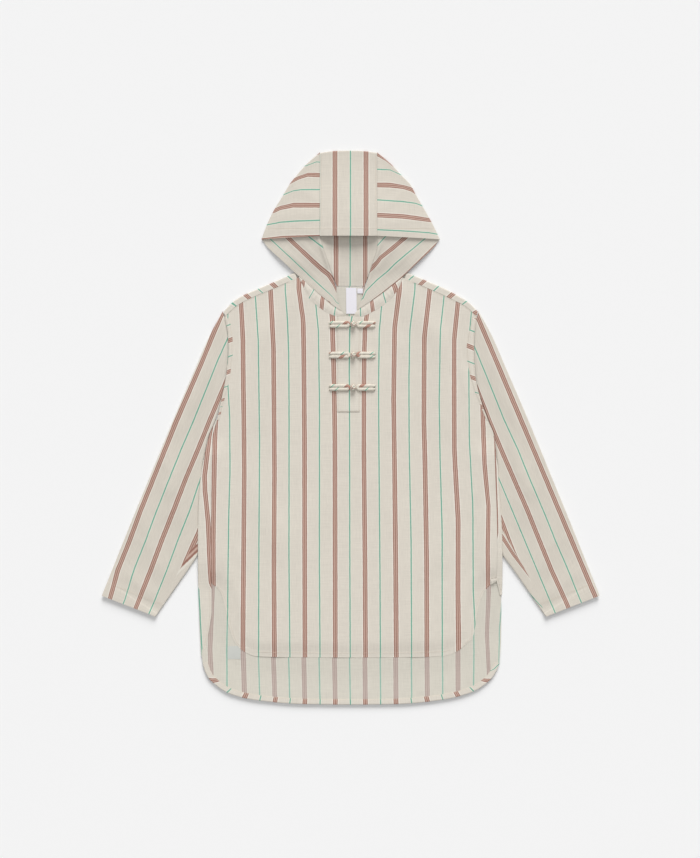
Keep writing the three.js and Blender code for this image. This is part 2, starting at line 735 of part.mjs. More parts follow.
class RouleauPath extends THREE.Curve {
  constructor(startX, turnX, y) {
    super();
    Object.assign(this, { startX, turnX, y });
  }

  getPoint(t, target = new THREE.Vector3()) {
    const radius = ROULEAU.pitch / 2;
    const way = Math.sign(this.turnX - this.startX);
    const straight = Math.abs(this.turnX - this.startX) - radius - ROULEAU.halfWidth;
    const bend = Math.PI * radius;
    const along = t * (2 * straight + bend);
    const bendX = this.startX + way * straight;
    let x = this.startX + way * along;
    let offset = radius;
    if (along > straight && along < straight + bend) {
      const angle = (along - straight) / radius;
      x = bendX + way * radius * Math.sin(angle);
      offset = radius * Math.cos(angle);
    } else if (along >= straight + bend) {
      x = bendX - way * (along - straight - bend);
      offset = -radius;
    }
    return target.set(x, this.y + offset, onPlacket(x, this.y) + ROULEAU.halfHeight);
  }
}

const ROULEAU_SIDES = 6;
const ROULEAU_STRAIGHT_STEPS = 6;
const ROULEAU_BEND_STEPS = 5;

function rouleau(startX, turnX, y) {
  const path = new RouleauPath(startX, turnX, y);
  const radius = ROULEAU.pitch / 2;
  const straight = Math.abs(turnX - startX) - radius - ROULEAU.halfWidth;
  const total = 2 * straight + Math.PI * radius;
  const bendShare = (Math.PI * radius) / total;
  const side = steps(ROULEAU_STRAIGHT_STEPS).map((t) => (t * (1 - bendShare)) / 2);
  const bend = steps(ROULEAU_BEND_STEPS).slice(1, -1).map((t) => (1 - bendShare) / 2 + t * bendShare);
  const ts = [...side, ...bend, ...side.map((t) => 1 - t).reverse()];
  const ring = (t, scale) => {
    const centre = path.getPoint(t);
    const ahead = path.getPoint(Math.min(t + 1e-3, 1)).sub(path.getPoint(Math.max(t - 1e-3, 0)));
    const sideways = new THREE.Vector3(-ahead.y, ahead.x, 0).normalize();
    return steps(ROULEAU_SIDES).slice(0, -1).map((s) => {
      const angle = 2 * Math.PI * (s + 0.5 / ROULEAU_SIDES);
      const p = centre.clone().addScaledVector(sideways, ROULEAU.halfWidth * scale * Math.cos(angle));
      p.z += ROULEAU.halfHeight * scale * Math.sin(angle);
      return p.toArray();
    });
  };
  return tubeSolid(ts.map((t) => ring(t, 1)));
}

// A solid rod through closed rings, with flat ends.
function tubeSolid(rings) {
  const width = rings[0].length;
  const positions = rings.flat();
  const triangles = [];
  for (let j = 0; j < rings.length - 1; j += 1) {
    for (let i = 0; i < width; i += 1) {
      const next = (i + 1) % width;
      const [low, high] = [j * width, (j + 1) * width];
      triangles.push([low + i, low + next, high + next], [low + i, high + next, high + i]);
    }
  }
  for (let i = 1; i < width - 1; i += 1) {
    const last = (rings.length - 1) * width;
    triangles.push([0, i + 1, i], [last, last + i, last + i + 1]);
  }
  return finish(positions, triangles);
}

// The knot: a ball with the furrows of the cord that is wound round it.
function knot(y) {
  const geometry = new THREE.SphereGeometry(TOGGLE.knotRadius, 14, 9);
  const { position } = geometry.attributes;
  const p = new THREE.Vector3();
  for (let i = 0; i < position.count; i += 1) {
    p.fromBufferAttribute(position, i);
    const turn = Math.atan2(p.y, p.x);
    const furrow = 0.94 + 0.06 * Math.cos(3 * turn + (2.4 * p.z) / TOGGLE.knotRadius);
    p.multiplyScalar(Math.abs(p.y) > TOGGLE.knotRadius * 0.999 ? 1 : furrow);
    position.setXYZ(i, p.x, p.y, p.z);
  }
  geometry.deleteAttribute('normal');
  geometry.deleteAttribute('uv');
  const merged = mergeVertices(geometry, 1e-3);
  const base = onPlacket(TOGGLE.knotX, y) + TOGGLE.knotRadius;
  merged.translate(TOGGLE.knotX, y, base);
  return merged;
}

// ---- The shirt ----
add('back_panel', backPanel(), INSIDE);
add('front_panel', frontPanel(), CLOTH);
add('sleeve_left', sleeve(-1), CLOTH);
add('sleeve_right', sleeve(1), CLOTH);
add('hood_side_left', hoodSide(-1), CLOTH);
add('hood_side_right', hoodSide(1), CLOTH);
add('hood_centre', hoodCentre(), CLOTH);
for (const [name, side, neck] of [['left', -1, LEFT_NECK], ['right', 1, RIGHT_NECK]]) {
  add(`neckband_${name}`, neckband(neck), BAND);
  add(`armhole_strip_${name}`, armholeStrip(side), BAND);
}
add('placket', placket(), CLOTH);
for (const { place, y } of TOGGLE_ROWS) {
  add(`toggle_${place}_loop`, rouleau(TOGGLE.left, TOGGLE.knotX - TOGGLE.knotRadius - SEAM, y), BIAS);
  add(`toggle_${place}_tail`, rouleau(TOGGLE.right, TOGGLE.knotX + TOGGLE.knotRadius + SEAM, y), BIAS);
  add(`toggle_${place}_knot`, knot(y), BIAS);
}
add('main_label', insideLabel(MAIN_LABEL), LABEL);
add('size_tag', insideLabel(SIZE_TAG), LABEL);

export default shirt;
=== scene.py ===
# %% [markdown]
# # A striped cotton hooded shirt, laid flat
# The shirt lies on its back with its front up. Each sewn piece of cloth is a thin sheet that is
# folded, laid and creased where the solid of the same name lies. All sheets share one recipe: a
# grid of points worked out from a few named lines, a thickness from the Solidify modifier, and
# a UV map that holds the cloth's own stripes. Lengths in the tables are millimetres; meshes are in
# metres. X runs across the shirt, Y up to the hood, Z up out of the surface that it lies on.

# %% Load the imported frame
import bpy
import bmesh
import math
import numpy as np
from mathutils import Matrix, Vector


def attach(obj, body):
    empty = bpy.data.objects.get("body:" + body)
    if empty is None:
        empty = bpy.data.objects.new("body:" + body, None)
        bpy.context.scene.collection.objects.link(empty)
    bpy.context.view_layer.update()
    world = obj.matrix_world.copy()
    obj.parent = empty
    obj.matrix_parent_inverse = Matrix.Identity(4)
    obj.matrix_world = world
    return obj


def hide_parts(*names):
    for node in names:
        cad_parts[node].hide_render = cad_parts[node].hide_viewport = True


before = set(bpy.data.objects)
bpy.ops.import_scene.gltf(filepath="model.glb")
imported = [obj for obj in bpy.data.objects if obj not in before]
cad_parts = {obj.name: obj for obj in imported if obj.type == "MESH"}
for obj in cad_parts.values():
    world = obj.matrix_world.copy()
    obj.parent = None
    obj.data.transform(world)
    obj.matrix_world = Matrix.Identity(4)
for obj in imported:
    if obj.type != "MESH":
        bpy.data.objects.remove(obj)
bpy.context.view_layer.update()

# %% [markdown]
# ## The view
# A flat lay is shot from straight above with a long lens, so that the edges stay parallel. The
# frame is 858 rows high at 2 mm a row, which fixes how far away the camera hangs.

# %% Camera
MM = 0.001
FRAME_HEIGHT = 858 * (2.0 * MM)
VIEW_CENTRE = (-0.0014, -0.004)
LENS, SENSOR = 85, 36
camera = bpy.data.objects.new("camera", bpy.data.cameras.new("camera"))
bpy.context.collection.objects.link(camera)
camera.data.lens = LENS
camera.data.sensor_width = SENSOR
camera.location = (*VIEW_CENTRE, FRAME_HEIGHT / SENSOR * LENS)
bpy.context.scene.camera = camera
print("camera height:", round(camera.location.z, 3), "m")

# %% [markdown]
# ## Lines and heights
# A cutter thinks in lines: an armhole, a hem, a fold. Each is a short table of places, and a smooth
# curve runs through them. A monotone cubic is used because it never swings past its points.

# %% Tables and smooth lines
def rows(columns, *values):
    return [dict(zip(columns.split(), row)) for row in values]


def column(table, key):
    return np.array([row[key] for row in table], float)


def points(table, x="x", y="y"):
    return np.stack([column(table, x), column(table, y)], axis=1)


def monotone(places, values, at):
    """Monotone cubic through the values at rising places, read at other places."""
    gaps = np.diff(places)
    slopes = np.diff(values) / gaps
    tangents = np.concatenate([[slopes[0]], np.zeros(len(values) - 2), [slopes[-1]]])
    for i in range(1, len(values) - 1):
        if slopes[i - 1] * slopes[i] > 0:
            near, far = 2 * gaps[i] + gaps[i - 1], gaps[i] + 2 * gaps[i - 1]
            tangents[i] = (near + far) / (near / slopes[i - 1] + far / slopes[i])
    at = np.clip(at, places[0], places[-1])
    i = np.clip(np.searchsorted(places, at) - 1, 0, len(gaps) - 1)
    gap = gaps[i]
    t = (at - places[i]) / gap
    return (values[i] * (1 + 2 * t) * (1 - t) ** 2 + values[i + 1] * t * t * (3 - 2 * t)
            + gap * t * (1 - t) * (tangents[i] * (1 - t) - tangents[i + 1] * t))


def by_height(table, key):
    """The named column as a smooth function of y; the table runs downwards."""
    heights, values = column(table, "y")[::-1], column(table, key)[::-1]
    return lambda y: monotone(heights, values, y)


def line_through(places):
    """A smooth line through the places; its parameter runs evenly along its length."""
    places = np.asarray(places, float)
    lengths = np.concatenate([[0], np.cumsum(np.hypot(*np.diff(places, axis=0).T))])
    share = np.linspace(0, lengths[-1], 600)
    fine = np.stack([monotone(lengths, places[:, k], share) for k in (0, 1)], axis=1)
    along = np.concatenate([[0], np.cumsum(np.hypot(*np.diff(fine, axis=0).T))])
    along /= along[-1]
    return lambda t: np.stack([np.interp(t, along, fine[:, k]) for k in (0, 1)], axis=-1)


def across_line(places):
    """The same for an edge that runs across, read by its share of the width."""
    places = np.asarray(places, float)

    def read(u):
        x = places[0, 0] + (places[-1, 0] - places[0, 0]) * u
        return np.stack([x, monotone(places[:, 0], places[:, 1], x)], axis=-1)
    return read


def coons(top, bottom, left, right, us, vs):
    """Points of a sheet that meets four edge lines."""
    u, v = np.meshgrid(us, vs)
    corners = [top(0.0), top(1.0), bottom(0.0), bottom(1.0)]
    a, b = u[..., None], v[..., None]
    return ((1 - b) * top(u) + b * bottom(u) + (1 - a) * left(v) + a * right(v)
            - (1 - a) * (1 - b) * corners[0] - a * (1 - b) * corners[1]
            - (1 - a) * b * corners[2] - a * b * corners[3])


# %% Where the pieces meet
# Side -1 is the shirt's left in the view, and side 1 its right.
SIDES = (-1, 1)
SIDE_NAME = {-1: "left", 1: "right"}
SIDE_X = {-1: "leftX", 1: "rightX"}
SLIT_TOP_Y = {-1: -312.8, 1: -304.8}
ARMHOLES = rows(
    "y leftX rightX",
    (231, -255.6, 255.4), (220, -252.0, 252.4), (190, -246.4, 248.2), (156, -245.0, 247.0),
    (110, -248.6, 249.2), (82, -252.8, 252.8), (50, -260.0, 261.8), (14, -269.8, 274.4),
    (-18, -283.6, 286.4), (-56, -291.9, 290.6), (-78, -296.0, 293.2))
SLEEVE_TUCK = rows(
    "y leftX rightX",
    (-110, -294.0, 288.6), (-150, -294.0, 289.6), (-200, -295.4, 292.6), (-234, -299.4, 297.2),
    (-257, -305.8, 303.6))
FRONT_SLITS = rows(
    "leftX leftY rightX rightY",
    (-272.0, -317, 281.6, -312.8), (-259.4, -332, 265.6, -332), (-250.2, -366, 253.6, -368),
    (-243.4, -398, 248.6, -400), (-234.2, -426, 243.8, -421.2), (-222.6, -442, 230.0, -435))
NECK = {
    -1: rows("x y bandX bandY", (-104.4, 299.0, -98, 304), (-95.4, 282, -84, 291),
             (-85.4, 260, -68, 277), (-71.4, 246, -53, 262), (-41.4, 226, -32, 245),
             (-26.4, 221.4, -20, 237)),
    1: rows("x y bandX bandY", (104.6, 298, 99, 303), (92.6, 272, 80, 287), (72.6, 250, 61, 270),
            (46.6, 232, 38, 252), (20.6, 221.4, 15, 237)),
}
FRONT_HEM = rows(
    "x y",
    (-222.6, -442), (-208, -452), (-187.4, -458.5), (-101.4, -460.4), (0, -460.8), (98.6, -460.4),
    (184.6, -458), (212, -449), (230.0, -435))
SHOULDER = {
    -1: rows("foldX foldY seamX seamY", (-255.2, 231, -251.6, 220.8), (-233.4, 252, -228.4, 241.9),
             (-213.4, 264, -206.4, 254.6), (-195.4, 272, -189.4, 262.2), (-161.4, 286.4, -157.4, 275.3),
             (-131.4, 299.4, -127.4, 288.6), (-108.4, 309, -104.6, 299.3)),
    1: rows("foldX foldY seamX seamY", (255.0, 231, 252.0, 220.8), (234.6, 250, 230.2, 240.6),
            (214.6, 262, 208.6, 252.4), (192.6, 274, 186.6, 262.7), (158.6, 289, 154.6, 277.2),
            (130.6, 301, 127.0, 288.6), (107.6, 309, 104.8, 298.3)),
}
FLAP = {
    -1: rows("y seamX", (14, -267.2), (-18, -275.7), (-56, -278.0), (-86, -278.5), (-120, -278.9),
             (-176, -279.3), (-236, -279.5), (-262, -279.3), (-286, -279.0), (-312.8, -278.5),
             (-336, -278.2), (-368, -278.0), (-396, -281.6), (-426, -287.0), (-458, -294.8)),
    1: rows("y seamX", (-18, 286.4), (-56, 287.6), (-86, 288.6), (-120, 290.0), (-176, 292.0),
            (-236, 293.0), (-262, 292.6), (-286, 292.0), (-304.8, 291.3), (-318, 294.4), (-336, 298.6)),
}
BACK_SIDES = rows(
    "y leftX rightX",
    (229, -253.6, 253.6), (190, -246.2, 248.0), (156, -244.8, 246.8), (110, -248.4, 249.0),
    (82, -252.6, 252.6), (50, -259.8, 261.6), (14, -268.0, 274.2), (-18, -281.8, 285.6),
    (-56, -290.1, 288.8), (-86, -295.8, 292.6), (-120, -300.4, 294.6), (-176, -303.2, 299.0),
    (-236, -303.8, 301.4), (-286, -303.5, 301.5), (-312.8, -303.2, 301.4), (-336, -302.6, 300.8),
    (-368, -301.6, 301.2), (-396, -300.6, 301.0), (-426, -299.2, 300.4), (-458, -297.3, 298.2),
    (-472, -295.4, 296.8))
BACK_TAIL = rows(
    "x y",
    (-295.4, -472), (-287, -496), (-268, -516), (-240, -533), (-182.6, -546), (-93.4, -553), (0, -554),
    (90.6, -553), (184.6, -544), (242, -529), (270, -512), (288, -492), (296.8, -472))
SLEEVE_OUTER = rows(
    "x y",
    (256.2, 231.4), (282.4, 182), (308.0, 123), (349.8, 26), (404.2, -106), (451.6, -222), (497.4, -337))
SLEEVE_INNER = rows(
    "x y",
    (305.8, -257), (326.8, -287.5), (348.4, -318.5), (390.0, -379))
HOOD_OUTLINE = rows(
    "leftX rightX y",
    (-61.7, 52.9, 549), (-89.4, 81.8, 524.5), (-109, 102.6, 502), (-122.4, 119, 485),
    (-135.4, 131, 463), (-154.2, 149, 432), (-168.2, 165, 403), (-178.4, 178.4, 375))
HOOD_SEAM = rows(
    "leftX rightX y",
    (-61.4, 52.6, 546), (-61.4, 52.6, 474), (-61.4, 54.6, 384), (-54.4, 52.6, 356), (-45.4, 44.6, 330),
    (-37.4, 36.6, 306), (-27.4, 26.6, 280), (-22.4, 19.6, 257), (-15.4, 12.6, 235))
FACE_EDGE_Y, CROWN_Y, NAPE_Y = 381, 552.5, 282
LOWER_EDGE_SWELL = {
    -1: ([0, 0.02, 0.07, 0.15, 0.3, 0.44, 0.6, 0.75, 0.9, 1], [0, 0, 3.4, 4.8, 5.6, 7, 6.9, 7.2, 6.8, 3.6]),
    1: ([0, 0.02, 0.07, 0.15, 0.3, 0.44, 0.53, 0.65, 0.78, 0.89, 1],
        [0, 0, 3.4, 5.0, 6.6, 8.6, 9.0, 8.0, 6.3, 3.8, 0.8]),
}


def hood_diagonal(side):
    """The lower edge of a hood side: its start, length and direction, and the way out of the hood."""
    corner, foot = (points(table, SIDE_X[side])[-1] for table in (HOOD_OUTLINE, HOOD_SEAM))
    length = np.hypot(*(foot - corner))
    run = (foot - corner) / length
    return corner, length, run, np.array([-run[1], run[0]]) * side


def swell_out(side, places):
    """How far the lower edge hangs out at each place, and where along the edge that is."""
    corner, length, run = hood_diagonal(side)[:3]
    share = np.clip((places - corner) @ run / length, 0, 1)
    return np.interp(share, *LOWER_EDGE_SWELL[side]), share


def lower_edge(side, share, extra):
    """Places on the swollen lower edge at shares of its length, with extra room outwards."""
    corner, length, run, out_way = hood_diagonal(side)
    share = np.asarray(share, float)
    out = np.interp(share, *LOWER_EDGE_SWELL[side]) + extra
    return corner + run * (share * length)[..., None] + out_way * out[..., None]


PLACKET = {"left": -27.4, "right": 18.6, "top": 221.0, "bottom": 29.0}
print("lines:", len(ARMHOLES) + len(FLAP[-1]) + len(BACK_TAIL) + len(HOOD_OUTLINE), "places")

# %% [markdown]
# ## How high each layer lies
# Two layers of cloth make the flat shirt. The upper one rises where something lies under it: the
# sleeve tucked under each side, or a soft fold. A fold is a ridge between two places; it fades out
# to the sides and past its ends, so that a short table of them gives an uneven, resting surface.

# %% Heights of the layers
WALL, HOLLOW, SEAM = 1.2, 0.8, 0.3
CLOTH = 0.6
LIFT = WALL + HOLLOW
TUCK = LIFT + WALL + SEAM
TUCK_START, TUCK_END, TUCK_SIDE = (16, 62), (258, 330), (232, 270)
BODY_FOLD_LIMIT = (176, 222)
NECK_CLIMB = (318, 372)
MOUTH = 14
MOUTH_PUFF = 0.8 * MOUTH

BODY_FOLDS = rows(
    "place fromX fromY toX toY width height",
    ("left chest", -172, 180, -190, 30, 24, 1.9), ("left shoulder", -120, 255, -214, 120, 26, 1.2),
    ("right chest", 176, 185, 188, 20, 24, 2.0), ("right shoulder", 118, 250, 206, 140, 24, 1.2),
    ("under placket", -10, 12, -40, -150, 30, 1.2), ("left waist", -232, -60, -150, -220, 28, 1.6),
    ("right waist", 240, -90, 170, -260, 26, 1.4), ("left skirt", -120, -210, -150, -420, 30, 1.3),
    ("right skirt", 96, -190, 128, -410, 30, 1.4), ("middle", 62, 80, 40, -120, 34, 1.1),
)
BODY_CREASES = rows(
    "place fromX fromY toX toY width height",
    ("left armhole", -226, 150, -232, 60, 6, 0.5), ("left chest", -205, 120, -214, -20, 9, 0.45),
    ("right armhole", 214, 150, 232, 70, 6, 0.6), ("right armhole", 226, 110, 236, 20, 7, 0.5),
    ("right chest", 196, 90, 208, -10, 9, 0.4), ("neck left", -84, 214, -120, 150, 10, 0.35),
    ("neck right", 70, 212, 108, 140, 10, 0.35), ("placket left", -40, 214, -58, 120, 8, 0.3),
    ("placket end", -6, 24, -14, -60, 9, 0.4), ("placket end", 12, 26, 26, -40, 10, 0.3),
    ("left side", -246, -80, -232, -170, 7, 0.5), ("left side", -256, -150, -226, -250, 8, 0.4),
    ("right side", 262, -60, 240, -170, 7, 0.5), ("right side", 270, -170, 232, -270, 8, 0.4),
    ("left slit", -236, -300, -214, -370, 9, 0.35), ("right slit", 240, -300, 214, -380, 9, 0.35),
    ("hem left", -150, -380, -146, -452, 10, 0.35), ("hem middle", -20, -370, -26, -452, 12, 0.3),
    ("hem right", 120, -380, 126, -452, 10, 0.35),
)
SLEEVE_FOLDS = rows(
    "place fromX fromY toX toY width height",
    ("armhole", 285, 120, 330, 10, 18, 1.6), ("elbow inside", 352, -120, 318, -40, 16, 1.8),
    ("elbow", 372, -60, 350, -170, 18, 1.4), ("forearm", 420, -170, 388, -270, 18, 1.4),
    ("above cuff", 440, -300, 405, -330, 16, 1.2),
)
SLEEVE_CREASES = rows(
    "place fromX fromY toX toY width height",
    ("cap", 262, 180, 268, 100, 6, 0.5), ("upper arm", 300, 60, 312, -20, 9, 0.4),
    ("elbow", 388, -60, 352, -90, 8, 0.4), ("elbow", 340, -150, 380, -190, 8, 0.45),
    ("forearm", 432, -220, 398, -240, 8, 0.35), ("underarm", 318, -220, 352, -292, 6, 0.5),
)
HOOD_CREASES = rows(
    "place fromX fromY toX toY width height",
    ("crown left", -110, 478, -70, 456, 9, 0.5), ("crown left", -150, 420, -84, 426, 9, 0.4),
    ("crown right", 108, 470, 66, 440, 9, 0.5), ("crown right", 146, 418, 74, 404, 9, 0.4),
    ("crown middle", -22, 520, -10, 430, 10, 0.4), ("crown middle", 26, 500, 18, 410, 9, 0.3),
)
INSIDE_CREASES = rows(
    "place fromX fromY toX toY width height",
    ("left", -128, 352, -70, 300, 5, 0.6), ("left", -96, 368, -58, 322, 6, 0.7),
    ("right", 124, 352, 72, 306, 5, 0.6), ("right", 88, 362, 56, 318, 6, 0.7),
    ("middle", -8, 372, -14, 300, 8, 0.8), ("middle", 22, 366, 12, 300, 7, 0.7),
)
RIPPLES = rows(
    "place alongX alongY phase height",
    ("broad", 0.031, 0.012, 0.4, 0.10), ("broad", -0.017, 0.041, 1.9, 0.09),
    ("small", 0.083, -0.029, 2.6, 0.05), ("small", 0.061, 0.097, 4.1, 0.04),
    ("small", -0.113, 0.021, 5.2, 0.03),
)


def smooth(value, low, high):
    t = np.clip((np.asarray(value, float) - low) / (high - low), 0, 1)
    return t * t * (3 - 2 * t)


def ridges(table, x, y):
    """Height of a table of soft folds at each place."""
    height = np.zeros(np.broadcast(x, y).shape)
    for fold in table:
        run = np.array([fold["toX"] - fold["fromX"], fold["toY"] - fold["fromY"]], float)
        length = np.hypot(*run)
        away_x, away_y = x - fold["fromX"], y - fold["fromY"]
        along = (away_x * run[0] + away_y * run[1]) / length
        across = (away_x * run[1] - away_y * run[0]) / length
        past = along - np.clip(along, 0, length)
        away = (across / fold["width"]) ** 2 + (past / (1.6 * fold["width"])) ** 2
        height = height + fold["height"] * np.exp(-away)
    return height


def ripple(x, y):
    """The faint unevenness of cloth that was pressed and then handled."""
    return sum(
        wave["height"] * np.sin(wave["alongX"] * x + wave["alongY"] * y + wave["phase"]
                                + 1.4 * np.sin(0.013 * x - 0.017 * y + wave["phase"]))
        for wave in RIPPLES)


def tuck_lift(x, y):
    """How far the sleeve tucked under a side lifts what lies on it."""
    along = smooth(-y, *TUCK_START) * (1 - smooth(-y, *TUCK_END))
    return TUCK * along * smooth(np.abs(x), *TUCK_SIDE)


def front_top(x, y):
    """Outer face of the front, and of what is rolled onto it."""
    inside = 1 - smooth(np.abs(x), *BODY_FOLD_LIMIT)
    fine = ridges(BODY_CREASES, x, y) + ripple(x, y)
    return LIFT + WALL + tuck_lift(x, y) + inside * ridges(BODY_FOLDS, x, y) + fine


def sleeve_top(x, y):
    """Outer face of a sleeve; it stays smooth where the front or the back lies on it."""
    reach = np.abs(x)
    clear = np.minimum(smooth(reach, 308, 330) + smooth(y, 0, 60), 1) * smooth(reach, 258, 280)
    fine = ridges(SLEEVE_CREASES, reach + 4 * np.sign(x), y) + ripple(x + 90, y)
    return LIFT + WALL + clear * (ridges(SLEEVE_FOLDS, reach, y) + fine)


def neck_rise(y):
    """The hood's lower layer climbs over the shoulders to the neck."""
    return TUCK * (1 - smooth(y, *NECK_CLIMB))


def across_hood(x, y):
    """0 on the middle line of the hood and 1 on its outline."""
    left, right = (by_height(HOOD_OUTLINE, SIDE_X[side])(y) for side in SIDES)
    return np.clip(np.where(x < 0, x / left, x / right), 0, 1)


def crown_top(x, y):
    across = across_hood(x, y)
    down = (CROWN_Y - y) / (CROWN_Y - FACE_EDGE_Y)
    fine = ridges(HOOD_CREASES, x, y) * smooth(1 - across, 0.02, 0.2)
    return LIFT + WALL + MOUTH * (1 - across ** 2) * smooth(down, 0, 1) + fine


def mouth_puff(x, y):
    """How far the inside of the side panels swells up against the crown beside the opening."""
    swell = MOUTH_PUFF * (1 - across_hood(x, y) ** 2)
    return swell * smooth(y, 296, 376) * (1 - smooth(y, 388, 440))


print("front height at the chest:", round(float(front_top(np.array(0.0), np.array(60.0))), 2), "mm")

# %% [markdown]
# ## Stripes
# The cloth is woven with a repeat of 61 mm: a brown band of fine lines, and a thin green line half
# way to the next. A piece of cloth bends its stripes wherever it is pulled, so each piece has a
# table of a few stripes with the places that they pass. A point between two of them gets a number
# between theirs: the phase, whole at the middle of a brown band and a half at a green line.

# %% Phase from placed stripes
REPEAT = 60.9


def phase_between(stripes, x, y, along=(0, 1)):
    """Phase at each point. The stripes are sorted to the right of the way they run."""
    run = np.array(along, float) / np.hypot(*along)
    down, across = x * run[0] + y * run[1], x * run[1] - y * run[0]
    placed = []
    for number, places in stripes:
        place = np.asarray(places, float)
        heights = place @ run
        order = np.argsort(heights)
        sides = place[:, 0] * run[1] - place[:, 1] * run[0]
        placed.append((number, np.interp(down, heights[order], sides[order])))
    phase = None
    for (low, left), (high, right) in zip(placed, placed[1:]):
        part = low + (high - low) * (across - left) / np.maximum(right - left, 2)
        phase = part if phase is None else np.where(across > left, part, phase)
    return phase


FRONT_STRIPES = [
    (-4, [(-267.4, 34), (-268.8, 14), (-271.4, -26), (-273.4, -146), (-274.4, -226), (-274.0, -312)]),
    (-3.5, [(-245.6, 84), (-242, 22), (-241, -86), (-243.8, -186), (-245.4, -306), (-246.4, -386)]),
    (-3, [(-219.4, 248), (-215.4, 174), (-212.8, -86), (-214.2, -286), (-215.4, -426)]),
    (-2.5, [(-190.8, 264), (-184.6, 174), (-182, -26), (-183.6, -266), (-184.2, -460)]),
    (-2, [(-160.2, 274), (-154.2, 156), (-153.4, 54), (-152.2, -86), (-153.4, -286), (-152.2, -460)]),
    (-1.5, [(-130.6, 274), (-126.4, 214), (-124.2, 154), (-123.2, 54), (-123.4, -266), (-121.4, -460)]),
    (-1, [(-104.2, 276), (-99.4, 244), (-94.8, 214), (-93.8, 154), (-92.2, -26), (-91.4, -460)]),
    (-0.5, [(-69.6, 244), (-64.4, 190), (-62.4, 54), (-62.6, -266), (-61.4, -460)]),
    (0, [(-38.2, 230), (-37, 214), (-36.6, 182), (-34.2, 124), (-32.8, 54), (-31.4, -26), (-30.6, -460)]),
    (0.5, [(3, 222), (-1.8, 194), (-2.8, 114), (-2.2, 14), (-1.8, -266), (-1, -460)]),
    (1, [(33.4, 230), (29, 202), (27.4, 154), (26.4, 84), (26.2, -46), (28.6, -266), (29.8, -460)]),
    (1.5, [(62, 246), (57, 190), (55.8, 94), (56.2, -26), (58.2, -266), (59.4, -460)]),
    (2, [(97.4, 274), (87.8, 198), (85.8, 54), (87.8, -86), (89.8, -266), (91.4, -460)]),
    (2.5, [(128.4, 274), (118.2, 194), (116.4, 94), (117, -46), (120.6, -226), (121.8, -460)]),
    (3, [(157.8, 274), (147, 178), (146.2, 14), (148.6, -78), (151.6, -266), (152.2, -460)]),
    (3.5, [(186.6, 260), (179.2, 194), (176.8, 54), (179, -76), (182.6, -206), (183, -426)]),
    (4, [(214.2, 248), (206.6, 174), (207, -46), (210.2, -106), (215, -186), (214.4, -346), (215.8, -446)]),
    (4.5, [(241.6, 232), (237.2, 184), (236, 122), (237.2, -26), (244, -158), (245, -326), (248.6, -396)]),
    (5, [(262.8, 52), (265.4, -26), (267, -74), (269.8, -102), (272.8, -130), (275.8, -158), (275.2, -190),
         (274, -243), (274.8, -312)]),
    (5.5, [(296, 44), (297, -26), (300, -302)]),
]
BACK_STRIPES = [
    (-5.5, [(-307.4, -346), (-309.4, -526)]), (-5, [(-276.2, -314), (-281.8, -446), (-279, -492)]),
    (-4.5, [(-245.4, -346), (-247.8, -446), (-247, -526)]),
    (-4, [(-214.2, -346), (-214.6, -458), (-211.8, -536)]),
    (-3, [(-153.8, -346), (-154.6, -460), (-151.4, -546)]),
    (-2, [(-93.4, -346), (-93.8, -460), (-91.8, -552)]),
    (-1, [(-33, -346), (-32.6, -460), (-30.6, -552)]), (0, [(27.6, -346), (28.2, -460), (29.4, -552)]),
    (1, [(89.4, -346), (89.8, -460), (90.6, -552)]), (2, [(151.4, -346), (152.6, -460), (153.4, -546)]),
    (3, [(213.8, -346), (214.4, -460), (214.6, -526)]),
    (3.5, [(245.8, -346), (246.6, -460), (245.4, -522)]),
    (4, [(276.2, -328), (272.6, -414), (276.8, -490)]),
    (4.5, [(303, -330), (301.4, -361), (297.5, -402), (297, -430), (296, -460)]),
]
FLAP_STRIPE = {
    -1: [(-273.4, 34), (-282.6, -18), (-287.8, -66), (-291.8, -98), (-290.8, -128), (-287.8, -158),
         (-284.6, -190), (-281.0, -282), (-279.0, -312), (-273, -325), (-272.6, -342), (-271.2, -359),
         (-270.2, -383), (-268.6, -416), (-266.4, -453), (-265.1, -468)],
    1: [(283.4, 14), (284.4, -26), (287.2, -108), (289.8, -180), (290.0, -214), (286, -238),
        (280, -262)],
}
print("stripes on the front:", len(FRONT_STRIPES))

# %% [markdown]
# ## Cloth as a mesh
# A piece is one or more grids that share borders: a panel and the part of it that is rolled over.
# The grids are joined by merging their doubles, and Solidify gives the sheet its thickness inwards,
# so that the outer face stays where it was placed. The inner face takes the next material slot.

# %% Sheets from grids
def spread(count, *dense):
    """Shares from 0 to 1, with extra ones listed where a hem needs them."""
    return np.unique(np.round(np.concatenate([np.linspace(0, 1, count + 1), dense]), 6))


def stack(x, y, z):
    return np.stack(np.broadcast_arrays(x, y, z), axis=-1)


def grid(xyz, phase, along, turned=False):
    """Rows of points with their UVs; a turned grid has its faces wound the other way."""
    return {"xyz": xyz, "uv": np.stack(np.broadcast_arrays(phase, along), axis=-1), "turned": turned}


def wrap_round(edge, inward, low, high, steps=7):
    """The round of a fold, from its lower side to its upper side."""
    radius = (high - low)[..., None] / 2
    angles = np.linspace(-np.pi / 2, np.pi / 2, steps)
    reach = radius * (1 - np.cos(angles))
    x = edge[:, 0:1] + inward[:, 0:1] * reach
    y = edge[:, 1:2] + inward[:, 1:2] * reach
    return stack(x, y, low[:, None] + radius * (1 + np.sin(angles)))


def deselect():
    for thing in bpy.context.selected_objects:
        thing.select_set(False)


def choose(piece):
    deselect()
    piece.select_set(True)
    bpy.context.view_layer.objects.active = piece


def new_object(name, mesh):
    thing = bpy.data.objects.new(name, mesh)
    bpy.context.collection.objects.link(thing)
    return thing


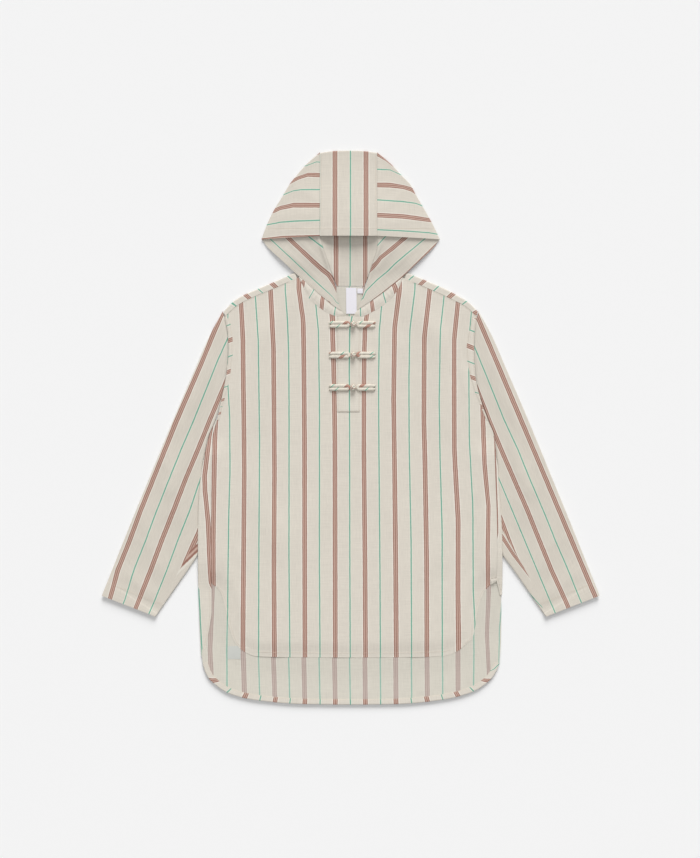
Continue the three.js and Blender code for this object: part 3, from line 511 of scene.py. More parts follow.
def finish_mesh(piece, materials, node, angle=50):
    for material in materials:
        piece.data.materials.append(material)
    choose(piece)
    bpy.ops.object.shade_smooth_by_angle(angle=math.radians(angle))
    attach(piece, "root")
    if node:
        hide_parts(*node.split())
    return piece


def one_side_area(grids):
    total = 0
    for one in grids:
        p = one["xyz"] * MM
        corners = ((p[:-1, :-1], p[1:, :-1], p[:-1, 1:]), (p[1:, 1:], p[1:, :-1], p[:-1, 1:]))
        for a, b, c in corners:
            total += np.linalg.norm(np.cross(b - a, c - a), axis=-1).sum() / 2
    return total


def mesh_of(name, grids):
    """The grids as one mesh with their UV map; the points on their shared borders are still doubled."""
    places, faces, uvs, start = [], [], [], 0
    for one in grids:
        height, width = one["xyz"].shape[:2]
        index = start + np.arange(height * width).reshape(height, width)
        quads = np.stack([index[:-1, :-1], index[1:, :-1], index[1:, 1:], index[:-1, 1:]], axis=-1)
        quads = quads.reshape(-1, 4)
        faces.append(quads[:, ::-1] if one["turned"] else quads)
        places.append(one["xyz"].reshape(-1, 3) * MM)
        uvs.append(one["uv"].reshape(-1, 2))
        start += height * width
    faces = np.concatenate(faces)
    mesh = bpy.data.meshes.new(name)
    mesh.from_pydata(np.concatenate(places).tolist(), [], faces.tolist())
    mesh.uv_layers.new(name="cloth").data.foreach_set("uv", np.concatenate(uvs)[faces.ravel()].ravel())
    return mesh


def join_borders(mesh, outward=False):
    work = bmesh.new()
    work.from_mesh(mesh)
    bmesh.ops.remove_doubles(work, verts=work.verts, dist=2e-5)
    bmesh.ops.dissolve_degenerate(work, edges=work.edges, dist=1e-6)
    if outward:
        bmesh.ops.recalc_face_normals(work, faces=work.faces)
    work.to_mesh(mesh)
    work.free()


def sheet(name, grids, materials, node=None, thickness=CLOTH):
    """One piece of cloth from its grids. It takes its materials before it gets its thickness."""
    mesh = mesh_of(name, grids)
    join_borders(mesh)
    piece = new_object(name, mesh)
    for material in materials:
        mesh.materials.append(material)
    choose(piece)
    shell = piece.modifiers.new("solidify", "SOLIDIFY")
    shell.thickness = thickness * MM
    shell.offset = -1
    shell.material_offset = 1
    shell.material_offset_rim = 0
    bpy.ops.object.modifier_apply(modifier=shell.name)
    finish_mesh(piece, [], node)
    print(f"{name}: {len(piece.data.polygons)} faces, {one_side_area(grids):.4f} m2")
    return piece


def solid(name, grids, materials, node):
    """A closed piece, such as a cord, from grids that close on themselves."""
    mesh = mesh_of(name, grids)
    join_borders(mesh, outward=True)
    piece = finish_mesh(new_object(name, mesh), materials, node, 60)
    print(f"{name}: {len(piece.data.polygons)} faces")
    return piece


# %% [markdown]
# ## The woven cotton
# Colour comes from two numbers in the UV map: the phase across the stripes and the length along
# them. One node group turns them into the brown band with its fine lines, the green line, the pale
# threads at their sides and the slubs of warp and weft, and every striped material places it with
# its own colours. An image would blur at the seams; threads drawn from numbers stay sharp.

# %% Node helpers
def colour(red, green, blue):
    """A screen colour from 0 to 255 as linear light."""
    def linear(value):
        value /= 255
        return value / 12.92 if value <= 0.04045 else ((value + 0.055) / 1.055) ** 2.4
    return (linear(red), linear(green), linear(blue), 1)


class Wiring:
    """Short words for adding nodes to one tree."""

    def __init__(self, tree):
        self.tree = tree

    def node(self, kind, **settings):
        made = self.tree.nodes.new(kind)
        for key, value in settings.items():
            setattr(made, key, value)
        return made

    def feed(self, socket, value):
        if isinstance(value, bpy.types.NodeSocket):
            self.tree.links.new(value, socket)
        else:
            socket.default_value = value

    def math(self, operation, *values):
        made = self.node("ShaderNodeMath", operation=operation)
        for socket, value in zip(made.inputs, values):
            self.feed(socket, value)
        return made.outputs[0]

    def swing(self, value, reach):
        """A value between 0 and 1 as a swing of this reach round 0."""
        return self.math("MULTIPLY", self.math("SUBTRACT", value, 0.5), reach)

    def away(self, value):
        """How far a phase is from the next half."""
        part = self.math("SUBTRACT", self.math("FRACT", value), 0.5)
        return self.math("ABSOLUTE", part)

    def within(self, distance, low, high):
        """1 below low, 0 above high, smooth between."""
        made = self.node("ShaderNodeMapRange", interpolation_type="SMOOTHSTEP")
        self.feed(made.inputs["Value"], distance)
        made.inputs["From Min"].default_value = low
        made.inputs["From Max"].default_value = high
        return self.math("SUBTRACT", 1, made.outputs["Result"])

    def mix(self, factor, first, second, blend="MIX"):
        made = self.node("ShaderNodeMix", data_type="RGBA", blend_type=blend)
        self.feed(made.inputs[0], factor)
        self.feed(made.inputs[6], first)
        self.feed(made.inputs[7], second)
        return made.outputs[2]

    def shade(self, tint, level):
        """A colour made lighter or darker by a level round 1."""
        grey = self.node("ShaderNodeCombineColor")
        for socket in grey.inputs:
            self.feed(socket, level)
        return self.mix(1.0, tint, grey.outputs[0], "MULTIPLY")

    def noise(self, across, along, scale, detail=2):
        place = self.node("ShaderNodeCombineXYZ")
        self.feed(place.inputs[0], across)
        self.feed(place.inputs[1], along)
        made = self.node("ShaderNodeTexNoise", noise_dimensions="2D")
        self.feed(made.inputs["Vector"], place.outputs[0])
        made.inputs["Scale"].default_value = scale
        made.inputs["Detail"].default_value = detail
        return made.outputs["Fac"]


def node_group(name, inputs, outputs):
    tree = bpy.data.node_groups.new(name, "ShaderNodeTree")
    for label, kind, default in inputs:
        socket = tree.interface.new_socket(label, in_out="INPUT", socket_type=kind)
        if default is not None:
            socket.default_value = default
    for label, kind in outputs:
        tree.interface.new_socket(label, in_out="OUTPUT", socket_type=kind)
    wiring = Wiring(tree)
    return wiring, wiring.node("NodeGroupInput").outputs, wiring.node("NodeGroupOutput").inputs


# %% The striped weave, as a node group
BAND_HALF, BAND_LINES = 0.077, 17
GREEN_HALF = 0.021
LINE_BLUR = 0.004
THREAD_SCALE = 62
COLOURS = ("Ground", "Brown", "Brown Line", "Green", "Pale")
wires, given, result = node_group(
    "striped weave",
    [("Phase", "NodeSocketFloat", 0), ("Along", "NodeSocketFloat", 0)]
    + [(label, "NodeSocketColor", (1, 1, 1, 1)) for label in COLOURS]
    + [("Slub", "NodeSocketFloat", 1)],
    [("Color", "NodeSocketColor"), ("Height", "NodeSocketFloat")])
phase, along = given["Phase"], given["Along"]
place = wires.math("ADD", phase, wires.swing(wires.noise(phase, along, 5), 0.012))
from_band = wires.away(wires.math("ADD", place, 0.5))
from_green = wires.away(place)
band = wires.within(from_band, BAND_HALF - LINE_BLUR, BAND_HALF + LINE_BLUR)
green = wires.within(from_green, GREEN_HALF - LINE_BLUR, GREEN_HALF + LINE_BLUR)
by_band = wires.within(from_band, BAND_HALF + 0.022, BAND_HALF + 0.04)
by_green = wires.within(from_green, GREEN_HALF + 0.014, GREEN_HALF + 0.03)
wave = wires.math("COSINE", wires.math("MULTIPLY", place, 2 * math.pi * BAND_LINES))
line_wave = wires.math("MULTIPLY_ADD", wave, 0.5, 0.5)
warp = wires.noise(phase, wires.math("MULTIPLY", along, 0.03), THREAD_SCALE)
weft = wires.noise(wires.math("MULTIPLY", phase, 0.03), along, THREAD_SCALE)
threads = wires.math("SUBTRACT", wires.math("ADD", warp, weft), 1)
slub = wires.noise(wires.math("MULTIPLY", phase, 3.2), wires.math("MULTIPLY", along, 0.5), 9, 3)
tone = wires.math("MULTIPLY_ADD", wires.math("MULTIPLY", threads, given["Slub"]), 0.16, 1)
tone = wires.math("ADD", tone, wires.swing(slub, 0.07))
tint = wires.mix(wires.math("MULTIPLY", by_band, 0.75), given["Ground"], given["Pale"])
tint = wires.mix(wires.math("MULTIPLY", by_green, 0.6), tint, given["Pale"])
tint = wires.mix(band, tint, wires.mix(line_wave, given["Brown"], given["Brown Line"]))
tint = wires.mix(green, tint, given["Green"])
wires.feed(result["Color"], wires.shade(tint, tone))
wires.feed(result["Height"], wires.math("ADD", threads, wires.math("MULTIPLY", slub, 0.6)))
STRIPED = wires.tree
print("weave group:", len(STRIPED.nodes), "nodes")


# %% Materials
def matt(name, roughness):
    """A new material, its wiring and its shader's sockets."""
    material = bpy.data.materials.new(name)
    material.use_nodes = True
    shader = material.node_tree.nodes["Principled BSDF"]
    shader.inputs["Roughness"].default_value = roughness
    return material, Wiring(material.node_tree), shader.inputs


def relief(wiring, sockets, height, strength, depth):
    raised = wiring.node("ShaderNodeBump")
    raised.inputs["Strength"].default_value = strength
    raised.inputs["Distance"].default_value = depth
    wiring.feed(raised.inputs["Height"], height)
    wiring.feed(sockets["Normal"], raised.outputs[0])


def striped_cotton(name, *colours, slub=1.0, bump=0.35):
    """The weave with its own colours, in the order of COLOURS."""
    material, wiring, sockets = matt(name, 0.9)
    parts = wiring.node("ShaderNodeSeparateXYZ")
    wiring.feed(parts.inputs[0], wiring.node("ShaderNodeUVMap", uv_map="cloth").outputs[0])
    weave = wiring.node("ShaderNodeGroup", node_tree=STRIPED)
    wiring.feed(weave.inputs["Phase"], parts.outputs[0])
    wiring.feed(weave.inputs["Along"], parts.outputs[1])
    for label, value in zip(COLOURS, colours):
        weave.inputs[label].default_value = colour(*value)
    weave.inputs["Slub"].default_value = slub
    relief(wiring, sockets, weave.outputs["Height"], bump, 0.0004)
    wiring.feed(sockets["Base Color"], weave.outputs["Color"])
    sockets["Specular IOR Level"].default_value = 0.25
    sockets["Sheen Weight"].default_value = 0.06
    sockets["Sheen Roughness"].default_value = 0.5
    return material


def plain(name, tint, roughness, grain_scale, grain):
    """A single-colour finish with a fine uneven grain."""
    material, wiring, sockets = matt(name, roughness)
    speck = wiring.node("ShaderNodeTexNoise")
    wiring.feed(speck.inputs["Vector"], wiring.node("ShaderNodeTexCoord").outputs["Object"])
    speck.inputs["Scale"].default_value = grain_scale
    level = wiring.math("ADD", wiring.swing(speck.outputs["Fac"], grain * 4), 1)
    wiring.feed(sockets["Base Color"], wiring.shade(colour(*tint), level))
    relief(wiring, sockets, speck.outputs["Fac"], 0.2, 0.0002)
    return material


RIGHT_SIDE = striped_cotton("striped cotton", (217, 210, 198), (202, 174, 160), (148, 104, 91),
                            (116, 172, 150), (231, 226, 216))
# A darker copy of the same striped cotton for the sleeves and the hood: its lower tones are painted shade.
SHADED_COTTON = striped_cotton("striped cotton painted shade", (211, 204, 192), (198, 171, 157), (146, 103, 90),
                           (116, 172, 150), (225, 220, 209))
WRONG_SIDE = striped_cotton("striped cotton wrong side", (209, 204, 192), (194, 181, 172),
                            (174, 153, 146), (146, 184, 167), (213, 209, 198))
BIAS = striped_cotton("bias cord", (219, 212, 198), (200, 164, 148), (150, 98, 84),
                      (108, 170, 146), (226, 220, 208), slub=1.8, bump=0.9)
LABEL = plain("woven label", (232, 229, 235), 0.55, 1600, 0.03)
CARE_LABEL = plain("care label", (199, 200, 194), 0.6, 1600, 0.02)
THREAD = plain("sewing thread", (203, 189, 171), 0.8, 3000, 0.1)
FLOOR = plain("surface", (243, 243, 243), 0.95, 40, 0.0)
CLOTH_FACES = [RIGHT_SIDE, WRONG_SIDE]
SLEEVE_FACES = [SHADED_COTTON, WRONG_SIDE]
LINED_FACES = [SHADED_COTTON, SHADED_COTTON]
print("materials:", len(bpy.data.materials))

# %% [markdown]
# ## Front
# The front is one panel: armholes and side seams at its sides, slits below them, a neckline and
# two shoulder seams on top. A Coons patch fills the space between those four edges, as a cutter
# fills an outline. Extra rows near the hem give the turned edge its step.

# %% Front panel
BOTTOM_HEM, SLIT_HEM, DROOP = 9, 4, 2.3
HEM_RISE, DROOP_REACH = 0.2, 34
SLIT_PLACES = 6


def edge_distance(x, y, chain):
    """Distance of each place to a chain of straight lines."""
    best = np.full(np.shape(x), 1e9)
    for (ax, ay), (bx, by) in zip(chain, chain[1:]):
        run = np.hypot(bx - ax, by - ay)
        share = np.clip(((x - ax) * (bx - ax) + (y - ay) * (by - ay)) / run ** 2, 0, 1)
        best = np.minimum(best, np.hypot(x - ax - share * (bx - ax), y - ay - share * (by - ay)))
    return best


def front_side(side):
    """The front's edge from its shoulder down: the armhole, the side seam and the slit."""
    name, flap = SIDE_NAME[side], FLAP[side]
    above = [(row[name + "X"] - side * SEAM, row["y"]) for row in ARMHOLES[1:] if row["y"] > flap[0]["y"]]
    beside = [(row["seamX"] - side * SEAM, row["y"]) for row in flap if row["y"] >= SLIT_TOP_Y[side]]
    return above + beside + [(row[name + "X"], row[name + "Y"]) for row in FRONT_SLITS]


def front_upper_edge():
    def half(side):
        shoulder = [(row["seamX"], row["seamY"] - 2 * SEAM) for row in SHOULDER[side][1:-1]]
        return front_side(side)[:1] + shoulder + [(row["x"], row["y"] - SEAM) for row in NECK[side]]
    return half(-1) + half(1)[::-1]


def front_cloth(x, y):
    """The front's outer face: thicker at its hems, and sinking a little towards its free edge."""
    bottom = edge_distance(x, y, points(FRONT_HEM).tolist())
    slits = np.minimum(*(edge_distance(x, y, front_side(side)[-SLIT_PLACES:]) for side in SIDES))
    hem = np.maximum(1 - smooth(bottom, BOTTOM_HEM - 1, BOTTOM_HEM + 1.5),
                     1 - smooth(slits, SLIT_HEM - 1, SLIT_HEM + 1))
    sink = DROOP * (1 - smooth(np.minimum(bottom, slits), 0, DROOP_REACH))
    return front_top(x, y) + HEM_RISE * hem - sink


def front_grid():
    us = spread(116, 0.004, 0.008, 0.012, 0.988, 0.992, 0.996)
    vs = spread(140, *np.linspace(0.955, 0.998, 16))
    plan = coons(across_line(front_upper_edge()), across_line(points(FRONT_HEM)),
                 *(line_through(front_side(side)) for side in SIDES), us, vs)
    x, y = plan[..., 0], plan[..., 1]
    return grid(stack(x, y, front_cloth(x, y)), phase_between(FRONT_STRIPES, x, y), y / REPEAT)


def turned_corner():
    """The corner of the right slit's hem, turned up on itself."""
    u, v = np.meshgrid(np.linspace(0, 1, 7), np.linspace(0, 1, 7))
    a, b = u[..., None], v[..., None]
    near, far, low_near, low_far = (
        np.array(p) for p in ((279.8, -303.6), (292.2, -302.4), (281.0, -314.6), (291.6, -307.6)))
    p = (1 - b) * ((1 - a) * near + a * far) + b * ((1 - a) * low_near + a * low_far)
    rise = front_top(p[..., 0], p[..., 1]) - 0.5 + 1.5 * np.sin(np.pi * (0.25 + 0.5 * v)) + 0.5 * u
    return grid(stack(p[..., 0], p[..., 1], rise), 0.25 + 0.02 * u, v)


front = sheet("front", [front_grid(), turned_corner()], CLOTH_FACES, "front_panel")

# %% [markdown]
# ## Back
# The back is longer and wider than what shows: its shoulders roll over to the front, its sides roll
# over to the side seams, and its tail has a turned hem. All of them are one cloth, so the grids
# start from the panel's own border points and go round with it.

# %% Back panel with its rolled edges
TAIL_HEM, TAIL_CURL, CURL_REACH = 10, 2.8, 62
BACK_TOP_Y, BACK_CORNER_Y, BACK_TIP_X = 229, -472, 253.6
SHOULDER_LEAN = (0.4, -0.92)
SLIT_SETTLE = (306, 330)
NECK_HALF = 107
# Stripes cross the rolled shoulder at a slant; their places are read at the fold.
SHOULDER_TICKS = {
    -1: ([-302, -275, -237.6, -211, -185, -159, -126, -100], [-4.5, -4, -3.5, -3, -2.5, -2, -1.5, -1]),
    1: ([88, 127, 148, 176, 206, 232, 254, 275], [1, 1.5, 2, 2.5, 3, 3.5, 4, 4.5]),
}
BACK_NECKLINE = [(-106.6, 307.4), (-64, 291), (-28, 281.6), (0, 281), (28, 281.6), (64, 291),
                 (105.8, 307.4)]


def height_share(y):
    return (BACK_TOP_Y - y) / (BACK_TOP_Y - BACK_CORNER_Y)


def back_edge(side):
    border = by_height(BACK_SIDES, SIDE_X[side])

    def read(v):
        y = BACK_TOP_Y + (BACK_CORNER_Y - BACK_TOP_Y) * np.asarray(v, float)
        return np.stack([border(y), y], axis=-1)
    return read


def back_upper_edge():
    def half(side):
        return [(side * BACK_TIP_X, BACK_TOP_Y)] + [
            (row["foldX"] - side * 0.64, row["foldY"] - 1.5) for row in SHOULDER[side][1:-1]]
    return half(-1) + BACK_NECKLINE + half(1)[::-1]


def rolled_side(side):
    """A side of the back: round the fold from the border of the panel, and on to the side seam."""
    ends = [height_share(FLAP[side][i]["y"]) for i in (0, -1)]
    border = back_edge(side)(BACK_ROWS[(BACK_ROWS >= ends[0] - 1e-6) & (BACK_ROWS <= ends[1] + 1e-6)])
    x, y = border[:, 0], border[:, 1]
    low, high = tuck_lift(x, y), front_top(x, y)
    inward = np.tile([-side, 0.0], (len(y), 1))
    arc = wrap_round(border - inward * ((high - low) / 2)[:, None], inward, low, high)
    seam_x = by_height(FLAP[side], "seamX")(y)[:, None]
    run_x = x[:, None] + (seam_x - x[:, None]) * np.linspace(0, 1, 7)[1:]
    run_y = np.broadcast_to(y[:, None], run_x.shape)
    away, below = np.abs(run_x - seam_x), smooth(-run_y, *SLIT_SETTLE)
    settle = below * (0.4 * (1 - smooth(away, 3, 5)) - 1.4 * (1 - smooth(away, 0, 16)))
    run = stack(run_x, run_y, front_top(run_x, run_y) + settle)
    xyz = np.concatenate([arc, run], axis=1)
    places = np.array(FLAP_STRIPE[side], float)[::-1]
    middle = np.interp(xyz[..., 1], places[:, 1], places[:, 0])
    return grid(xyz, (xyz[..., 0] - middle) / REPEAT, xyz[..., 1] / REPEAT, side > 0)


def rolled_shoulder(side, border):
    """A shoulder of the back: over the fold and down to the shoulder seam."""
    lean = np.array([-side * SHOULDER_LEAN[0], SHOULDER_LEAN[1]]) / np.hypot(*SHOULDER_LEAN)
    inward = np.tile(lean, (len(border), 1))
    high = front_top(border[:, 0], border[:, 1])
    edge = border - inward * (high / 2)[:, None]
    arc = wrap_round(edge, inward, 0 * high, high)
    order = np.argsort(column(SHOULDER[side], "foldX"))
    fold_x, seam_x, seam_y = (column(SHOULDER[side], key)[order] for key in ("foldX", "seamX", "seamY"))
    seam = np.stack([monotone(fold_x, values, edge[:, 0]) for values in (seam_x, seam_y)], axis=1)
    run = border[:, None] + (seam - border)[:, None] * np.linspace(0, 1, 6)[1:, None]
    run = stack(run[..., 0], run[..., 1], front_top(run[..., 0], run[..., 1]))
    xyz = np.concatenate([arc, run], axis=1).transpose(1, 0, 2)
    depth = np.hypot(xyz[..., 0] - edge[:, 0], xyz[..., 1] - edge[:, 1])
    phase = np.interp(xyz[..., 0] + side * 0.8 * depth, *SHOULDER_TICKS[side])
    return grid(xyz, phase, depth / REPEAT)


def tail_curl(x, y):
    """The free hem of the tail stands a little off the surface."""
    return TAIL_CURL * (1 - smooth(edge_distance(x, y, points(BACK_TAIL).tolist()), 0, CURL_REACH))


def tail_hem(border):
    """The hem turned up onto the inside of the tail, its right side up."""
    slope = np.gradient(border, axis=0)
    inward = np.stack([-slope[:, 1], slope[:, 0]], axis=1) / np.hypot(*slope.T)[:, None]
    low, doubled = np.full(len(border), TAIL_CURL), 2 * CLOTH + 0.3
    arc = wrap_round(border - inward * doubled / 2, inward, low, low + doubled, 5)
    depth = np.linspace(0, TAIL_HEM, 7)[1:]
    run = border[:, None] + inward[:, None] * depth[:, None]
    lifted = tail_curl(run[..., 0], run[..., 1]) + doubled
    run = stack(run[..., 0], run[..., 1], lifted - 0.25 * (depth == TAIL_HEM))
    xyz = np.concatenate([arc, run], axis=1).transpose(1, 0, 2)
    inside = ((xyz[..., :2] - border) * inward).sum(axis=-1)
    cut_x = border[:, 0] - inward[:, 0] * np.maximum(inside, 0)
    cut_y = np.broadcast_to(border[:, 1], cut_x.shape)
    return grid(xyz, phase_between(BACK_STRIPES, cut_x, cut_y), xyz[..., 1] / REPEAT, True)


BACK_ROWS = spread(110, *[height_share(FLAP[side][i]["y"]) for side in SIDES for i in (0, -1)])
panel = coons(across_line(back_upper_edge()), across_line(points(BACK_TAIL)),
              back_edge(-1), back_edge(1), spread(110), BACK_ROWS)
x, y = panel[..., 0], panel[..., 1]
lifted = tuck_lift(x, y) + tail_curl(x, y)
back_grids = [grid(stack(x, y, lifted), phase_between(BACK_STRIPES, x, y), y / REPEAT, True)]
back_grids += [rolled_side(side) for side in SIDES] + [tail_hem(panel[-1])]
back_grids += [rolled_shoulder(side, panel[0][side * panel[0][:, 0] >= NECK_HALF]) for side in SIDES]
back = sheet("back", back_grids, CLOTH_FACES, "back_panel")

# %% [markdown]
# ## Sleeves
# A sleeve is a flat tube. Round each row runs one loop of cloth: along the top, round the inner
# fold, back underneath and round the outer fold. An underarm seam runs a little inside the inner
# fold, and beyond it the stripes of the other edge of the cloth show at their own slant.

# %% Sleeves
SLEEVE_LENGTH, FOLD_MARGIN = 600, 1.6
CUFF_HEM, CUFF_CURL = 28, 2.0
SLEEVE_STRIPES = {
    -1: ((225, 572), [
        (0, [(-255.4, 230), (-271.4, 194), (-295.4, 134), (-321.4, 74), (-347.4, 14), (-371.4, -46),
             (-395.4, -106), (-419.4, -166), (-441.4, -226), (-465.4, -286), (-480.4, -342)]),
        (0.5, [(-245.4, 178), (-265.4, 134), (-289.4, 74), (-313.4, 14), (-339.4, -46), (-363.4, -106),
               (-387.4, -166), (-409.4, -226), (-433.4, -286), (-451.4, -346)]),
        (1, [(-250.6, 86), (-281.4, 14), (-305.4, -46), (-330.4, -106), (-353.4, -166), (-377.4, -226),
             (-399.4, -286), (-423.4, -346)]),
        (1.5, [(-281.4, -60), (-301.4, -106), (-321.4, -166), (-345.4, -226), (-367.4, -286),
               (-391.4, -346), (-403.4, -374)]),
        (2, [(-303.8, -211.4), (-316.6, -239), (-331.2, -271.6)])]),
    1: ((-234, 557), [
        (2, [(302.4, -189.4), (312.2, -217.4), (323.6, -246.8)]),
        (1.5, [(295.6, -102), (404.6, -362)]),
        (1, [(247, 90), (276.6, 14), (300.6, -46), (326.6, -106), (352.6, -166), (376.6, -226),
             (400.6, -286), (428.6, -346)]),
        (0.5, [(245, 166), (282.6, 74), (306.6, 14), (334.6, -46), (358.6, -106), (384.6, -166),
               (408.6, -226), (434.6, -286), (458.6, -346)]),
        (0, [(254.6, 218), (488.6, -339)])]),
}
UNDERARM_STRIPES = {
    -1: ((60, 57), [(0, [(-323.6, -252), (-303.6, -233)]), (0.5, [(-283, -311), (-263, -291)])]),
    1: ((-42, 58), [(0.5, [(349.8, -324), (369.4, -346), (391.6, -370)]),
                    (1, [(301, -216.6), (305.3, -223.6), (325.1, -254.6), (340, -273.6), (352, -288.6)])]),
}
UNDERARM_SEAM = {
    -1: [(-303, -231), (-318.4, -243), (-338.2, -277.4), (-365, -325), (-391.4, -374)],
    1: [(303.4, -204.8), (326, -248), (347, -283), (370.6, -326), (388.6, -377)],
}


def underarm_share(plan, fine, vs, seam):
    """Share of the width at which the underarm seam crosses each row."""
    found = [(0, 0.98)]
    for place in seam:
        away = np.hypot(plan[..., 0] - place[0], plan[..., 1] - place[1])
        row, share = np.unravel_index(np.argmin(away), away.shape)
        found.append((vs[row], fine[share]))
    found = np.array(found)
    return np.interp(vs, found[:, 0], found[:, 1])


def sleeve(side):
    seam = [(row[SIDE_X[side]] + side * SEAM, row["y"]) for row in ARMHOLES + SLEEVE_TUCK]
    outer, inner = ([(side * row["x"], row["y"]) for row in table]
                    for table in (SLEEVE_OUTER, SLEEVE_INNER))
    outer[0], inner[0] = seam[0], seam[-1]
    edges = [line_through(line) for line in (seam, [outer[-1], inner[-1]], outer, inner)]
    vs = spread(124, *np.linspace(0.94, 0.995, 8))
    fine = np.linspace(0, 1, 401)
    plan = coons(*edges, fine, vs)
    start = FOLD_MARGIN / np.hypot(*(plan[:, 0] - plan[:, -1]).T)
    from_cap, from_cuff = vs * SLEEVE_LENGTH, (1 - vs) * SLEEVE_LENGTH
    hem = 1 - smooth(from_cuff, CUFF_HEM - 1, CUFF_HEM + 2)

    def at(u):
        """Points of each row at shares of the width, one share or one list for every row."""
        u = np.broadcast_to(u, (len(vs),) + np.shape(u)[1:])
        return np.stack([np.stack([np.interp(u[j], fine, plan[j, :, k]) for k in (0, 1)], axis=-1)
                         for j in range(len(vs))])

    def shares(first, last, count):
        return first[:, None] + (last - first)[:, None] * np.linspace(0, 1, count)

    def upper_run(u):
        p = at(u)
        away = from_cap[:, None] * (1 - 0.65 * u)
        rise = sleeve_top(p[..., 0], p[..., 1]) + 0.4 * hem[:, None] - 1.5 * np.exp(-(away / 5) ** 2)
        return stack(p[..., 0], p[..., 1], rise)

    def fold(share, inside):
        """Round the fold, from below to the border of the run on top."""
        edge = at(np.full((len(vs), 1), share))[:, 0]
        turn = np.linspace(-np.pi / 2, np.pi / 2, 7)
        flat = edge[:, None] + (inside[:, :2] - edge)[:, None] * (1 - np.cos(turn))[:, None]
        return stack(flat[..., 0], flat[..., 1], inside[:, 2:3] / 2 * (1 + np.sin(turn)))

    seam_share = np.minimum(underarm_share(plan, fine, vs, UNDERARM_SEAM[side]), 1 - 3 * start)
    top_run = upper_run(shares(start, seam_share, 46))
    rest = upper_run(shares(seam_share, 1 - start, 6))
    p = at(shares(1 - start, start, 44))
    below = stack(p[..., 0], p[..., 1], 0.0)
    outer_fold = fold(0.0, top_run[:, 0])
    first = np.concatenate([outer_fold, top_run[:, 1:]], axis=1)
    second = np.concatenate([rest, fold(1.0, rest[:, -1])[:, ::-1][:, 1:]], axis=1)

    def phase(p, table):
        way, stripes = table[side]
        return phase_between(stripes, p[..., 0], p[..., 1], way)

    phases = [phase(first, SLEEVE_STRIPES), phase(second, UNDERARM_STRIPES),
              2 * phase(outer_fold[:, 3:4], SLEEVE_STRIPES) - phase(below, SLEEVE_STRIPES)]
    curl = CUFF_CURL * (1 - smooth(from_cuff, 0, 60))
    for part in (first, second, below):
        part[..., 2] += curl[:, None]
    name = SIDE_NAME[side]
    grids = [grid(part, numbers, from_cap[:, None] / REPEAT, side > 0)
             for part, numbers in zip((first, second, below), phases)]
    piece = sheet(f"sleeve_{name}_cloth", grids, SLEEVE_FACES, f"sleeve_{name}")


for side in SIDES:
    sleeve(side)

# %% [markdown]
# ## Hood
# The hood has three panels: two sides and a long centre panel that runs from the nape over the
# crown. Laid flat it shows its crown from outside above the face edge, and its inside below it.
# Each side panel is one grid that goes along the lower layer, round the fold and back on top.

# %% Hood sides
CROWN_STRIPES = {
    -1: [(-3, [(-80, 541), (-62, 548)]), (-2.5, [(-123.4, 518), (-89.2, 522), (-68.8, 530), (-57.4, 529)]),
         (-2, [(-122.8, 487), (-104.4, 498), (-85.4, 505), (-59.8, 503)]),
         (-1.5, [(-135, 464), (-114.6, 472), (-99.4, 474), (-61.4, 474)]),
         (-1, [(-153.4, 431), (-140.2, 438), (-114.6, 443), (-61.4, 442)]),
         (-0.5, [(-167.4, 404), (-140.2, 409), (-109.4, 411), (-61.4, 412)]),
         (0, [(-177.4, 372.5), (-141.4, 376), (-65.4, 377.5)])],
    1: [(-3, [(53.8, 545.5), (69, 535.5), (84, 522)]),
        (-2.5, [(53.8, 515), (79.2, 514), (92, 508), (103.4, 503)]),
        (-2, [(51.2, 483), (79.2, 483), (104.6, 480), (120, 475), (128.6, 469)]),
        (-1.5, [(53.8, 453), (104.6, 450), (130.2, 447), (146, 441)]),
        (-1, [(53.8, 422), (104.6, 420), (161.6, 413)]),
        (-0.5, [(53.8, 393), (104.6, 391), (155.8, 388), (174.6, 385)])],
}
INSIDE_STRIPES = {
    -1: ((0.77, -0.64), [
        (1.5, [(-85.4, 381), (-57.4, 360)]),
        (1, [(-125.4, 378), (-75.4, 330), (-57.4, 314), (-44.4, 304), (-33.4, 286), (-26.4, 267)]),
        (0.5, [(-165.4, 380), (-111.4, 330), (-72.2, 293), (-34.8, 259), (-30.4, 251)])]),
    1: ((-0.77, -0.64), [
        (0, lower_edge(1, [0, 0.4, 0.53, 0.65, 0.78, 0.89, 1], 3.5).tolist()),
        (0.5, [(150.6, 378), (91.6, 329), (74.6, 312), (52.6, 294), (38.6, 280), (30.6, 272),
               (24.6, 256)]),
        (1, [(110.6, 380), (82.6, 356), (58.6, 338), (53.6, 330), (39.6, 314)]),
        (1.5, [(70.3, 381), (61, 371), (53.7, 362)])]),
}
FACE_HEM, FACE_HEM_RISE, HOOD_EDGE_LENGTH = 16, 0.35, 170


def unit(way):
    return way / np.maximum(np.hypot(way[..., 0], way[..., 1]), 1e-9)[..., None]


def seam_roll(away):
    """The seam allowance lifts the cloth beside a seam."""
    return 1.6 * np.exp(-((away - 4) / 6.0) ** 2)


